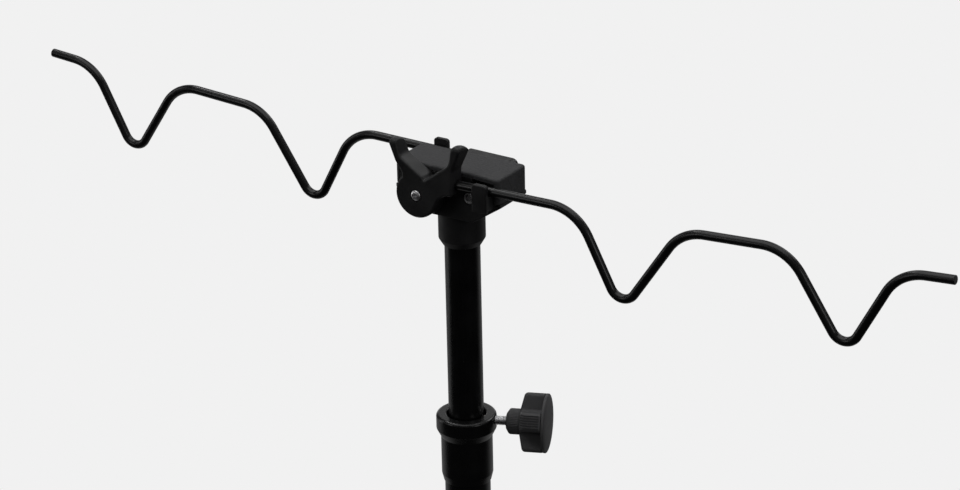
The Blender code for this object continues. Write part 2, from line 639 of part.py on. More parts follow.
def build_head_body(frame):
    """Builds the head's moulded block, with its socket, arm rests and bores."""
    foot = BLOCK_END_FOOT
    lip_top = -(foot - FOOT_LIP_HEIGHT)
    lip_half_length = BLOCK_HALF_LENGTH - SEAT_GAP
    half = [
        (BODY_HALF_LENGTH, BODY_TOP),
        (BODY_HALF_LENGTH, lip_top),
        (lip_half_length, lip_top),
        (lip_half_length, -foot),
        (HULL_BOTTOM_LENGTH / 2, -HULL_DEPTH),
    ]
    outline = [Vector(point) for point in half] + [Vector((-x, z)) for x, z in reversed(half)]
    edge = 0.6 * MM
    face = BLOCK_WIDTH / 2
    levels = [(-face, edge), (-face + edge, 0.0), (face - edge, 0.0), (face, edge)]
    body = add_object("head_body", plate(outline, levels), frame, BLACK_MOULDING)
    socket_radius = SOCKET_DIAMETER / 2
    socket = turned([
        (0.0, -HULL_DEPTH + 8 * MM),
        (socket_radius, -HULL_DEPTH + 8 * MM),
        (socket_radius, -HULL_DEPTH - SOCKET_LENGTH),
        (socket_radius - SOCKET_CHAMFER_INSET, SOCKET_BOTTOM),
        (0.0, SOCKET_BOTTOM),
    ])
    join(body, socket, "socket")
    rests = [("front", 1.0, FRONT_ARM_RISE, FRONT_POST_TOP), ("back", -1.0, BACK_ARM_RISE, BACK_POST_TOP)]
    for side, way, rise, post_top in rests:
        turn = Matrix.Rotation(0.0 if way > 0 else math.pi, 4, "Z")
        post_end = BLOCK_HALF_LENGTH - REST_POST_END_INSET
        post_start = post_end - REST_POST_LENGTH
        channel_outer = ARM_PLANE + WIRE_RADIUS + SEAT_GAP
        post_outline = rounded_path([
            (post_start, -foot, 0.0),
            (post_end, -foot, 0.0),
            (post_end, post_top, REST_POST_CORNER),
            (post_start, post_top, REST_POST_CORNER),
        ], closed=True)
        post = plate(post_outline, [(-BRACKET_OUTER_FACE, 0.6 * MM), (-BRACKET_OUTER_FACE + 0.6 * MM, 0.0),
                                    (-channel_outer, 0.0)])
        join(body, moved(post, turn), f"{side}_post")
        ledge = block((post_start + 0.4 * MM, -BRACKET_OUTER_FACE + 1.2 * MM, -foot + 0.5 * MM),
                      (BODY_HALF_LENGTH - 0.2 * MM, -face + 2 * MM, rest_floor(rise)))
        join(body, moved(ledge, turn), f"{side}_ledge")
    for side, way, rise, post_top in rests:
        turn = Matrix.Rotation(0.0 if way > 0 else math.pi, 4, "Z")
        pocket = block((COVER_FLARE_START, -face - MM, BODY_TOP - SIDE_POCKET_HEIGHT),
                       (BODY_HALF_LENGTH - 1.5 * MM, -face + SIDE_POCKET_DEPTH, BODY_TOP + MM))
        cut(body, moved(pocket, turn), f"{side}_pocket")
        place = (-PIVOT_OFFSET * way, 0.0, -PIVOT_DROP)
        hole = along_y(rod(PIVOT_SHANK_DIAMETER / 2 + SEAT_GAP, -face - MM, face + MM), place)
        cut(body, hole, f"{side}_pivot_hole")
        nut_floor = face - PIVOT_NUT_HEIGHT - SEAT_GAP
        nut_hole = along_y(rod(PIVOT_NUT_DIAMETER / 2 + SEAT_GAP, nut_floor, face + MM))
        nut_hole = moved(nut_hole, Matrix.Translation(place) @ turn)
        cut(body, nut_hole, f"{side}_nut_hole")
    bore = rod(INNER_TUBE_RADIUS + SEAT_GAP, SOCKET_BOTTOM - MM, SOCKET_BORE_TOP, TUBE_SIDES)
    cut(body, bore, "tube_bore")


def build_head_cover(frame):
    """Builds the cover that wraps the block's top and ends."""
    side = BLOCK_WIDTH / 2
    front = side + FRONT_COVER_FLARE
    back = side + BACK_COVER_FLARE
    end = BLOCK_HALF_LENGTH
    outline = rounded_path([
        (-end, -side, COVER_CORNER),
        (COVER_FLARE_START, -side, 0.0),
        (end, -front, COVER_CORNER),
        (end, side, COVER_CORNER),
        (-COVER_FLARE_START, side, 0.0),
        (-end, back, COVER_CORNER),
    ], closed=True)
    skirt_bottom = -(BLOCK_END_FOOT - FOOT_LIP_HEIGHT) + SEAT_GAP
    levels = [
        (-BLOCK_TOP, COVER_EDGE_ROUND),
        (-BLOCK_TOP + COVER_EDGE_ROUND * 0.3, COVER_EDGE_ROUND * 0.3),
        (-BLOCK_TOP + COVER_EDGE_ROUND, 0.0),
        (-skirt_bottom, 0.0),
    ]
    lay_flat = Matrix.Rotation(-math.pi / 2, 4, "X")
    cover = add_object("head_cover", moved(plate(outline, levels), lay_flat), frame, GRAINED_COVER)
    hollow = block((-BODY_HALF_LENGTH - SEAT_GAP, -front - MM, skirt_bottom - MM),
                   (BODY_HALF_LENGTH + SEAT_GAP, back + MM, COVER_UNDERSIDE))
    cut(cover, hollow, "hollow")


def build_inner_tube(frame):
    """Builds the sliding tube under the head, with its guide bush and end plug."""
    low = INNER_TUBE_TOP - INNER_TUBE_LENGTH
    bore = INNER_TUBE_RADIUS - INNER_TUBE_WALL
    add_object("inner_tube", pipe(INNER_TUBE_RADIUS, bore, low, INNER_TUBE_TOP), frame, ANODISED_TUBE)
    bush_radius = OUTER_TUBE_BORE - RUNNING_GAP
    bush = pipe(bush_radius, INNER_TUBE_RADIUS + RUNNING_GAP, low, low + BUSH_LENGTH)
    add_object("guide_bush", bush, frame, PALE_BUSH)
    plug = turned([
        (0.0, low + END_PLUG_SPIGOT),
        (bore - SEAT_GAP, low + END_PLUG_SPIGOT),
        (bore - SEAT_GAP, low - SEAT_GAP),
        (bush_radius, low - SEAT_GAP),
        (bush_radius, low - SEAT_GAP - END_PLUG_FLANGE),
        (0.0, low - SEAT_GAP - END_PLUG_FLANGE),
    ])
    add_object("tube_end_plug", plug, frame, BLACK_MOULDING)


def build_head():
    """Builds the head and the tube that carries it, about the arms' level."""
    frame = add_empty("head_frame", (0.0, COLUMN_Y, ARM_LEVEL))
    build_head_body(frame)
    build_head_cover(frame)
    build_inner_tube(frame)
    forked = build_arm("front", FRONT_ARM_RISE, FRONT_ROOT_RUN, front_bracket_outline(), BRACKET_EDGE_ROUND,
                       frame)
    middle = CRADLE_FLOOR_REACH
    beyond = CRADLE_HALF_SPAN + HORN_LEAN + OUTER_HORN_THICKNESS + 2 * MM
    cut(forked, horn_top_tool(middle, middle + beyond, OUTER_HORN_ABOVE_WIRE), "outer_horn_top")
    cut(forked, horn_top_tool(middle - beyond, middle, INNER_HORN_ABOVE_WIRE), "inner_horn_top")
    far_side = add_empty("far_side_frame", (0.0, 0.0, 0.0), (0.0, 0.0, math.pi), frame)
    build_arm("back", BACK_ARM_RISE, BACK_ROOT_RUN, back_bracket_outline(), BACK_BRACKET_CHAMFER, far_side)


def build_clamp_collar():
    """Builds the collar on the column's top end, bored for the clamp screw."""
    frame = add_empty("collar_frame", (0.0, COLUMN_Y, COLLAR_TOP))
    ring = COLLAR_RING_DIAMETER / 2
    sleeve = COLLAR_SLEEVE_DIAMETER / 2
    bore = COLLAR_BORE_DIAMETER / 2
    seat = OUTER_TUBE_RADIUS + SEAT_GAP
    neck = -COLLAR_RING_HEIGHT - COLLAR_NECK_CONE
    sleeve_end = neck - COLLAR_SLEEVE_LENGTH
    bottom = sleeve_end - COLLAR_CHAMFER_LENGTH
    edge = COLLAR_EDGE_ROUND
    profile = [
        (bore, -edge),
        (bore + edge, 0.0),
        (ring - edge, 0.0),
        (ring, -edge),
        (ring, -COLLAR_RING_HEIGHT),
        (ring - edge * 1.4, -COLLAR_RING_HEIGHT - edge * 2.4),
        (sleeve + 0.1 * edge, neck),
        (sleeve, neck - edge),
        (sleeve, sleeve_end),
        (seat + 0.35 * MM, bottom),
        (seat, bottom),
        (seat, -COLLAR_SHOULDER_HEIGHT),
        (bore, -COLLAR_SHOULDER_HEIGHT),
    ]
    collar = add_object("clamp_collar", turned(profile, TUBE_SIDES), frame, BLACK_MOULDING)
    hole = along_x(rod(CLAMP_SCREW_DIAMETER / 2 + RUNNING_GAP, bore - 3 * MM, ring + 3 * MM))
    place = Matrix.Rotation(CLAMP_AZIMUTH, 4, "Z") @ Matrix.Translation((0.0, 0.0, -CLAMP_BELOW_TOP))
    cut(collar, moved(hole, place), "screw_hole")


def wing_outline(radius, width):
    """Returns the cross-shaped outline of a four-winged knob."""
    half = width / 2
    tip = math.sqrt(radius ** 2 - half ** 2)
    corners = []
    for i in range(4):
        turn = Matrix.Rotation(math.pi / 2 * i, 2)
        wing_corners = [(tip, -half, half * 0.42), (tip, half, half * 0.42), (half, half, half * 0.5)]
        for across, up, rounding in wing_corners:
            place = turn @ Vector((across, up))
            corners.append((place.x, place.y, rounding))
    return rounded_path(corners, closed=True, step=WING_ARC_STEP)


def build_thumb_screw(prefix, frame, sizes, phase):
    """Builds a clamp's pad, screw, winged knob and cap, along the frame's Z from the tube's axis."""
    tube, pad_thickness, screw_diameter, start, neck_diameter, neck_length = sizes[:6]
    head_diameter, head_length, wing_width, cap_diameter, rim, rise = sizes[6:]
    screw_radius = screw_diameter / 2
    pad_start = tube + SEAT_GAP
    pad_end = pad_start + pad_thickness
    pad = rod(screw_radius - SEAT_GAP, pad_start, pad_end)
    add_object(f"{prefix}_pad", pad, frame, PALE_BUSH)
    neck_end = start + neck_length
    head_end = neck_end + head_length
    bore_end = neck_end + head_length * 0.7
    screw = turned([
        (0.0, pad_end + SEAT_GAP),
        (screw_radius * 0.8, pad_end + SEAT_GAP),
        (screw_radius, pad_end + SEAT_GAP + screw_radius * 0.2),
        (screw_radius, bore_end - SEAT_GAP),
        (0.0, bore_end - SEAT_GAP),
    ], SMALL_SIDES)
    add_object(f"{prefix}_screw", screw, frame, PLATED_STEEL)
    start_edge = wing_width * WING_START_BEVEL
    end_edge = wing_width * WING_END_BEVEL
    outline = wing_outline(head_diameter / 2, wing_width)
    levels = [
        (neck_end, start_edge),
        (neck_end + start_edge, 0.0),
        (head_end - end_edge, 0.0),
        (head_end, end_edge),
    ]
    stand_up = Matrix.Rotation(phase, 4, "Z") @ Matrix.Rotation(math.pi / 2, 4, "X")
    wings = moved(plate(outline, levels), stand_up)
    knob = add_object(f"{prefix}_knob", wings, frame, KNOB_MOULDING)
    neck = neck_diameter / 2
    slope_start = neck + 0.6 * MM
    slope_end = head_diameter / 2 + MM
    slope_step = neck_end + 0.2 * MM
    cut(knob, turned([
        (slope_start, slope_step),
        (slope_end, slope_step + (slope_end - slope_start) * WING_START_SLOPE),
        (slope_end, start),
        (slope_start, start),
    ]), "wing_slope")
    neck_shape = turned([
        (0.0, start),
        (neck * 0.9, start),
        (neck, start + neck * 0.1),
        (neck, neck_end + start_edge * 2),
        (0.0, neck_end + start_edge * 2),
    ], SMALL_SIDES)
    join(knob, neck_shape, "neck")
    cut(knob, rod(screw_radius + SEAT_GAP, start - MM, bore_end), "screw_bore")
    cap_start = head_end + SEAT_GAP
    rim_radius = cap_diameter / 2
    cap = turned([(0.0, cap_start), (rim_radius, cap_start), (rim_radius, cap_start + rim)]
                 + dome(rim_radius, cap_start + rim, rise), TUBE_SIDES)
    add_object(f"{prefix}_knob_cap", cap, frame, KNOB_MOULDING)


def build_column():
    """Builds the fixed part of the column: the tube, its collar and the clamp."""
    frame = add_empty("column_frame", (0.0, COLUMN_Y, OUTER_TUBE_BOTTOM))
    tube = pipe(OUTER_TUBE_RADIUS, OUTER_TUBE_BORE, 0.0, OUTER_TUBE_LENGTH)
    add_object("outer_tube", tube, frame, ANODISED_TUBE)
    build_clamp_collar()
    clamp = add_empty("clamp_frame", (0.0, COLUMN_Y, COLLAR_TOP - CLAMP_BELOW_TOP),
                      (0.0, math.pi / 2, CLAMP_AZIMUTH))
    sizes = (
        INNER_TUBE_RADIUS, CLAMP_PAD_THICKNESS, CLAMP_SCREW_DIAMETER, CLAMP_KNOB_START, CLAMP_NECK_DIAMETER,
        CLAMP_NECK_LENGTH, CLAMP_HEAD_DIAMETER, CLAMP_HEAD_LENGTH, CLAMP_WING_WIDTH, CLAMP_CAP_DIAMETER,
        CLAMP_CAP_RIM, CLAMP_CAP_DOME,
    )
    build_thumb_screw("clamp", clamp, sizes, CLAMP_TURN_PHASE)


def build_hub():
    """Builds the hub at the column's foot, with three forks for the legs, and the plug under it."""
    frame = add_empty("hub_frame", (0.0, COLUMN_Y, HINGE_HEIGHT))
    radius = HUB_DIAMETER / 2
    edge = 1.5 * MM
    barrel = turned([
        (0.0, -HUB_BELOW_HINGE),
        (radius - edge, -HUB_BELOW_HINGE),
        (radius, -HUB_BELOW_HINGE + edge),
        (radius, HUB_ABOVE_HINGE - 4 * edge),
        (radius - 2 * edge, HUB_ABOVE_HINGE),
        (0.0, HUB_ABOVE_HINGE),
    ])
    hub = add_object("leg_hub", barrel, frame, BLACK_MOULDING)
    slot_half = TONGUE_THICKNESS / 2 + RUNNING_GAP
    fork_half = slot_half + EAR_THICKNESS
    ear_end = HINGE_RADIUS + EAR_RADIUS
    root = radius * 0.5
    fork_outline = rounded_path([
        (root, -EAR_ROOT_BELOW, 0.0),
        (STOP_FACE_RADIUS + 3 * MM, -EAR_ROOT_BELOW, 4 * MM),
        (ear_end, -EAR_RADIUS, EAR_RADIUS * 0.85),
        (ear_end, EAR_RADIUS, EAR_RADIUS * 0.85),
        (STOP_FACE_RADIUS + 3 * MM, EAR_ROOT_ABOVE, 4 * MM),
        (root, EAR_ROOT_ABOVE, 0.0),
    ], closed=True)
    for i, azimuth in enumerate(LEG_AZIMUTHS):
        turn = Matrix.Rotation(azimuth, 4, "Z")
        fork = plate(fork_outline, [(-fork_half, 0.8 * MM), (-fork_half + 0.8 * MM, 0.0),
                                    (fork_half - 0.8 * MM, 0.0), (fork_half, 0.8 * MM)])
        join(hub, moved(fork, turn), f"fork_{i}")
    for i, azimuth in enumerate(LEG_AZIMUTHS):
        turn = Matrix.Rotation(azimuth, 4, "Z")
        slot = block((STOP_FACE_RADIUS, -slot_half, -EAR_ROOT_BELOW - 5 * MM),
                     (ear_end + 5 * MM, slot_half, EAR_ROOT_ABOVE + 5 * MM))
        cut(hub, moved(slot, turn), f"slot_{i}")
        hole = along_y(rod(HINGE_BOLT_DIAMETER / 2 + RUNNING_GAP, -fork_half - MM, fork_half + MM),
                       (HINGE_RADIUS, 0.0, 0.0))
        cut(hub, moved(hole, turn), f"hinge_hole_{i}")
    seat = OUTER_TUBE_RADIUS + SEAT_GAP
    ledge_top = -HUB_BELOW_HINGE + HUB_LEDGE_HEIGHT
    cut(hub, rod(seat, ledge_top, HUB_ABOVE_HINGE + MM, TUBE_SIDES), "tube_bore")
    drain = seat - HUB_LEDGE_WIDTH
    cut(hub, rod(drain, -HUB_BELOW_HINGE - MM, ledge_top + MM, TUBE_SIDES), "plug_bore")
    under = -HUB_BELOW_HINGE - SEAT_GAP
    plug_radius = drain - SEAT_GAP
    plug = turned([
        (0.0, under + HUB_PLUG_SPIGOT),
        (plug_radius, under + HUB_PLUG_SPIGOT),
        (plug_radius, under),
        (seat, under),
        (seat, under - HUB_PLUG_FLANGE * 0.6),
        (seat - HUB_PLUG_FLANGE * 0.6, under - HUB_PLUG_FLANGE),
        (0.0, under - HUB_PLUG_FLANGE),
    ])
    add_object("hub_plug", plug, frame, BLACK_MOULDING)
    return fork_half


def build_hinge_bolt(name, frame, fork_half):
    """Builds the bolt and nut that a leg folds on, along the hinge's Y."""
    shank = HINGE_BOLT_DIAMETER / 2
    head = HINGE_HEAD_DIAMETER / 2
    near = -fork_half - SEAT_GAP
    far = fork_half + SEAT_GAP
    profile = [
        (0.0, near - HINGE_HEAD_HEIGHT),
        (head * 0.85, near - HINGE_HEAD_HEIGHT),
        (head, near - HINGE_HEAD_HEIGHT * 0.75),
        (head, near),
        (shank, near),
        (shank, far + HINGE_NUT_HEIGHT + MM),
        (0.0, far + HINGE_NUT_HEIGHT + MM),
    ]
    add_object(f"{name}_hinge_bolt", along_y(turned(profile, SMALL_SIDES)), frame, PLATED_STEEL)
    hexagon = rod(HINGE_NUT_WIDTH / math.sqrt(3), far, far + HINGE_NUT_HEIGHT, sides=6)
    nut = add_object(f"{name}_hinge_nut", along_y(hexagon), frame, PLATED_STEEL)
    cut(nut, along_y(rod(shank + SEAT_GAP, far - MM, far + HINGE_NUT_HEIGHT + MM)), "thread")


def build_leg_fitting(name, frame):
    """Builds the tongue that hinges in the hub, with the spigot that carries the leg's tube."""
    half = TONGUE_WIDTH / 2
    stop = HINGE_RADIUS - STOP_FACE_RADIUS - SEAT_GAP
    cosine, sine = math.cos(LEG_SPLAY), math.sin(LEG_SPLAY)
    meet = (stop * cosine - half) / sine
    heel_low = (-half, stop * sine + meet * cosine)
    heel_high = (-stop * cosine + HEEL_HEIGHT * sine, stop * sine + HEEL_HEIGHT * cosine)
    outline = rounded_path([
        (-half, -SHOULDER_START - MM, 0.0),
        (*heel_low, 1.5 * MM),
        (*heel_high, 2.0 * MM),
        (half * 0.45, heel_high[1], 3.0 * MM),
        (half, heel_low[1] * 0.5, 5.0 * MM),
        (half, -SHOULDER_START - MM, 0.0),
    ], closed=True)
    side = TONGUE_THICKNESS / 2
    edge = 0.7 * MM
    levels = [(-side, edge), (-side + edge, 0.0), (side - edge, 0.0), (side, edge)]
    fitting = add_object(f"{name}_fitting", plate(outline, levels), frame, BLACK_MOULDING)
    tube = UPPER_LEG_DIAMETER / 2
    spigot = tube - LEG_TUBE_WALL - SEAT_GAP
    shoulder_end = -SHOULDER_START - SHOULDER_LENGTH
    core = turned([
        (0.0, -SHOULDER_START + 3 * MM),
        (side * 0.9, -SHOULDER_START + 3 * MM),
        (tube, -SHOULDER_START - 2 * MM),
        (tube, shoulder_end),
        (spigot, shoulder_end),
        (spigot, shoulder_end - LEG_SPIGOT_LENGTH),
        (0.0, shoulder_end - LEG_SPIGOT_LENGTH),
    ], LEG_SIDES)
    join(fitting, core, "spigot")
    hole = rod(HINGE_BOLT_DIAMETER / 2 + RUNNING_GAP, -side - MM, side + MM)
    cut(fitting, along_y(hole), "hinge_hole")


def build_leg_collar(name, frame):
    """Builds the collar that clamps a leg's lower tube, and its thumb screw."""
    sleeve = LEG_COLLAR_SLEEVE_DIAMETER / 2
    ring = LEG_COLLAR_RING_DIAMETER / 2
    seat = UPPER_LEG_DIAMETER / 2 + SEAT_GAP
    bore = LOWER_LEG_DIAMETER / 2 + LEG_COLLAR_BORE_GAP
    shoulder = -UPPER_LEG_END - SEAT_GAP
    top = -UPPER_LEG_END + LEG_COLLAR_SLEEVE_LENGTH
    ring_top = shoulder + 2 * MM
    bottom = ring_top - LEG_COLLAR_RING_HEIGHT
    edge = 0.9 * MM
    profile = [
        (seat, top),
        (sleeve - 2 * edge, top),
        (sleeve, top - 3 * edge),
        (sleeve, ring_top + 3 * edge),
        (ring, ring_top),
        (ring, bottom + edge),
        (ring - edge, bottom),
        (bore, bottom),
        (bore, shoulder),
        (seat, shoulder),
    ]
    collar = add_object(f"{name}_collar", turned(profile, LEG_SIDES), frame, BLACK_MOULDING)
    level = (shoulder + bottom) / 2
    hole = along_x(rod(LEG_SCREW_DIAMETER / 2 + RUNNING_GAP, bore - 3 * MM, ring + 3 * MM), (0.0, 0.0, level))
    cut(collar, hole, "screw_hole")
    clamp = add_empty(f"{name}_clamp_frame", (0.0, 0.0, level), (0.0, math.pi / 2, 0.0), frame)
    sizes = (
        LOWER_LEG_DIAMETER / 2, LEG_PAD_THICKNESS, LEG_SCREW_DIAMETER, LEG_KNOB_START, LEG_NECK_DIAMETER,
        LEG_NECK_LENGTH, LEG_HEAD_DIAMETER, LEG_HEAD_LENGTH, LEG_WING_WIDTH, LEG_CAP_DIAMETER, LEG_CAP_RIM,
        LEG_CAP_DOME,
    )
    build_thumb_screw(name, clamp, sizes, 0.0)


def build_lower_leg(name, frame):
    """Builds a leg's sliding tube, its guide bush and its rubber foot, cut flat where it stands."""
    radius = LOWER_LEG_DIAMETER / 2
    bore = radius - LEG_TUBE_WALL
    lower = add_empty(f"{name}_lower_frame", (0.0, 0.0, -LOWER_LEG_START), (0.0, 0.0, 0.0), frame)
    tube = pipe(radius, bore, -LOWER_LEG_LENGTH, 0.0, LEG_SIDES)
    add_object(f"{name}_lower_tube", tube, lower, ANODISED_TUBE)
    guide = UPPER_LEG_DIAMETER / 2 - LEG_TUBE_WALL - RUNNING_GAP
    bush = turned([
        (0.0, SEAT_GAP + LEG_BUSH_CAP),
        (guide, SEAT_GAP + LEG_BUSH_CAP),
        (guide, SEAT_GAP + LEG_BUSH_CAP - LEG_BUSH_LENGTH),
        (radius + SEAT_GAP, SEAT_GAP + LEG_BUSH_CAP - LEG_BUSH_LENGTH),
        (radius + SEAT_GAP, SEAT_GAP),
        (bore - SEAT_GAP, SEAT_GAP),
        (bore - SEAT_GAP, -LEG_BUSH_SPIGOT),
        (0.0, -LEG_BUSH_SPIGOT),
    ], LEG_SIDES)
    add_object(f"{name}_guide_bush", bush, lower, PALE_BUSH)
    neck = radius + SEAT_GAP + FOOT_WALL
    centre = -LOWER_LEG_LENGTH - FOOT_BALL_BEYOND_TUBE
    neck_angle = math.acos(neck / FOOT_BALL_RADIUS)
    arc = [-math.pi / 2 + (math.pi / 2 + neck_angle) * k / 7 for k in range(8)]
    ball = [(FOOT_BALL_RADIUS * math.cos(a), centre + FOOT_BALL_RADIUS * math.sin(a)) for a in arc[1:]]
    top = -LOWER_LEG_LENGTH + FOOT_SOCKET_DEPTH
    foot = turned([(0.0, centre - FOOT_BALL_RADIUS)] + ball + [
        (neck, top - MM),
        (neck - MM, top),
        (radius + SEAT_GAP, top),
        (radius + SEAT_GAP, -LOWER_LEG_LENGTH - SEAT_GAP),
        (0.0, -LOWER_LEG_LENGTH - SEAT_GAP),
    ], LEG_SIDES)
    down = Vector((-math.sin(LEG_SPLAY), 0.0, -math.cos(LEG_SPLAY)))
    flat_centre = Vector((0.0, 0.0, centre)) + down * FOOT_CENTRE_HEIGHT
    bmesh.ops.recalc_face_normals(foot, faces=foot.faces[:])
    sliced = bmesh.ops.bisect_plane(foot, geom=foot.verts[:] + foot.edges[:] + foot.faces[:], dist=1e-7,
                                    plane_co=flat_centre, plane_no=down, clear_outer=True)
    rim = [item for item in sliced["geom_cut"] if isinstance(item, bmesh.types.BMEdge)]
    bmesh.ops.edgeloop_fill(foot, edges=rim)
    add_object(f"{name}_foot", foot, lower, BLACK_RUBBER)


def build_leg(name, azimuth, fork_half):
    """Builds one leg in its hinge's frame, with the leg along the frame's -Z."""
    place = (HINGE_RADIUS * math.cos(azimuth), COLUMN_Y + HINGE_RADIUS * math.sin(azimuth), HINGE_HEIGHT)
    hinge = add_empty(f"{name}_hinge_frame", place, (0.0, 0.0, azimuth))
    leg = add_empty(f"{name}_frame", (0.0, 0.0, 0.0), (0.0, -LEG_SPLAY, 0.0), hinge)
    build_hinge_bolt(name, hinge, fork_half)
    build_leg_fitting(name, leg)
    tube = UPPER_LEG_DIAMETER / 2
    upper = pipe(tube, tube - LEG_TUBE_WALL, -UPPER_LEG_END, -UPPER_LEG_START, LEG_SIDES)
    add_object(f"{name}_upper_tube", upper, leg, ANODISED_TUBE)
    build_leg_collar(name, leg)
    build_lower_leg(name, leg)


def main():
    """Builds the whole tripod."""
    clear_scene()
    build_head()
    build_column()
    fork_half = build_hub()
    for name, azimuth in zip(LEG_NAMES, LEG_AZIMUTHS):
        build_leg(name, azimuth, fork_half)


main()
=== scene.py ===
"""The looks of a rod tripod: a head with two bent rod arms, a telescopic column and three folding legs.

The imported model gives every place. Each class below makes the fine surface of one sub-assembly
in millimetres about its own frame, sets it in place in metres, and dresses it.
"""
import json
import logging
import math
from dataclasses import dataclass, field
from enum import Enum
from typing import Callable

import bmesh
import bpy
from mathutils import Matrix, Vector

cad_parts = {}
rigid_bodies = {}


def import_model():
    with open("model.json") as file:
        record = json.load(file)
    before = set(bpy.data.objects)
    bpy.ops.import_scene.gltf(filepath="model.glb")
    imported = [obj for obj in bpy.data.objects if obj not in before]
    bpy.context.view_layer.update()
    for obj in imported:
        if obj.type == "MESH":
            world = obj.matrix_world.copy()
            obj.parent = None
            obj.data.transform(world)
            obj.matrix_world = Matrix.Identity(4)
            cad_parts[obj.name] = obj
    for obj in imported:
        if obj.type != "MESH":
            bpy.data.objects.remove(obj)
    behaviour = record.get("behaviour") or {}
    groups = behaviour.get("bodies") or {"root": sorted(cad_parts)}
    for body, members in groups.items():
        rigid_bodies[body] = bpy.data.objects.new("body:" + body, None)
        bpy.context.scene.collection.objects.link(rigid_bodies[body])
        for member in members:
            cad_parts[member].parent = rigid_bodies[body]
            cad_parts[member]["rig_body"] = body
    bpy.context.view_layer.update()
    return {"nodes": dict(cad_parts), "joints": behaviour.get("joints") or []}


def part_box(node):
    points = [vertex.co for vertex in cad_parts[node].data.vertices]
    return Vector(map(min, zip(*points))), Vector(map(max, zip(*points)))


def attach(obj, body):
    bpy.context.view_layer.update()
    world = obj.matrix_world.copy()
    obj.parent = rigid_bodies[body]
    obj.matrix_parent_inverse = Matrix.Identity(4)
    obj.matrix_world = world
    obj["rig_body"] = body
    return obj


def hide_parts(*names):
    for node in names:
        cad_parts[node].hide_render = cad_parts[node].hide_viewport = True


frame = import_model()

log = logging.getLogger("rod_tripod")

MM = 0.001
MERGE = 0.0005
ROUND_SIDES = 96
SMALL_SIDES = 48
WIRE_RESOLUTION = 10
ARC_STEP = math.radians(7.5)
SHARP = math.radians(30.0)
FULL_TURN = 2 * math.pi
THREAD_SHARP = math.radians(60.0)
SEAT_GAP = 0.3
OVERCUT = 1.0
ORIGIN = (0.0, 0.0, 0.0)
EVEN = (1.0, 1.0, 1.0)
ALONG_X = Matrix.Rotation(math.pi / 2, 4, "Y")
ALONG_Y = Matrix.Rotation(-math.pi / 2, 4, "X")

# Where both arms lie in the head, in millimetres from the column's axis and the arms' level
PIVOT_OFFSET = 15.2
PIVOT_DROP = 9.9
WIRE_PLANE = 20.9
BLOCK_FACE = 15.0
BRACKET_FACE = 27.0

Pair = tuple[float, float]
Corner = tuple[float, float, float]
Colour = tuple[float, float, float]
Piece = bpy.types.Object
Socket = bpy.types.NodeSocket


class Slot(Enum):
    """The record's material slots."""

    WIRE = "coated_wire"
    MOULDING = "black_moulding"
    COVER = "grained_cover"
    KNOB = "knob_moulding"
    BUSH = "pale_bush"
    TUBE = "anodised_tube"
    PLATED = "plated_steel"
    DARK = "dark_steel"
    RUBBER = "black_rubber"


class Joinery(Enum):
    """What one solid does to another."""

    ADD = "UNION"
    CUT = "DIFFERENCE"
    SHARE = "INTERSECT"


class Pattern(Enum):
    """A surface pattern: noise around 0.5, or rounded cells that are 0 at their middles."""

    NOISE = "TexNoise"
    CELLS = "TexVoronoi"


# Finishes


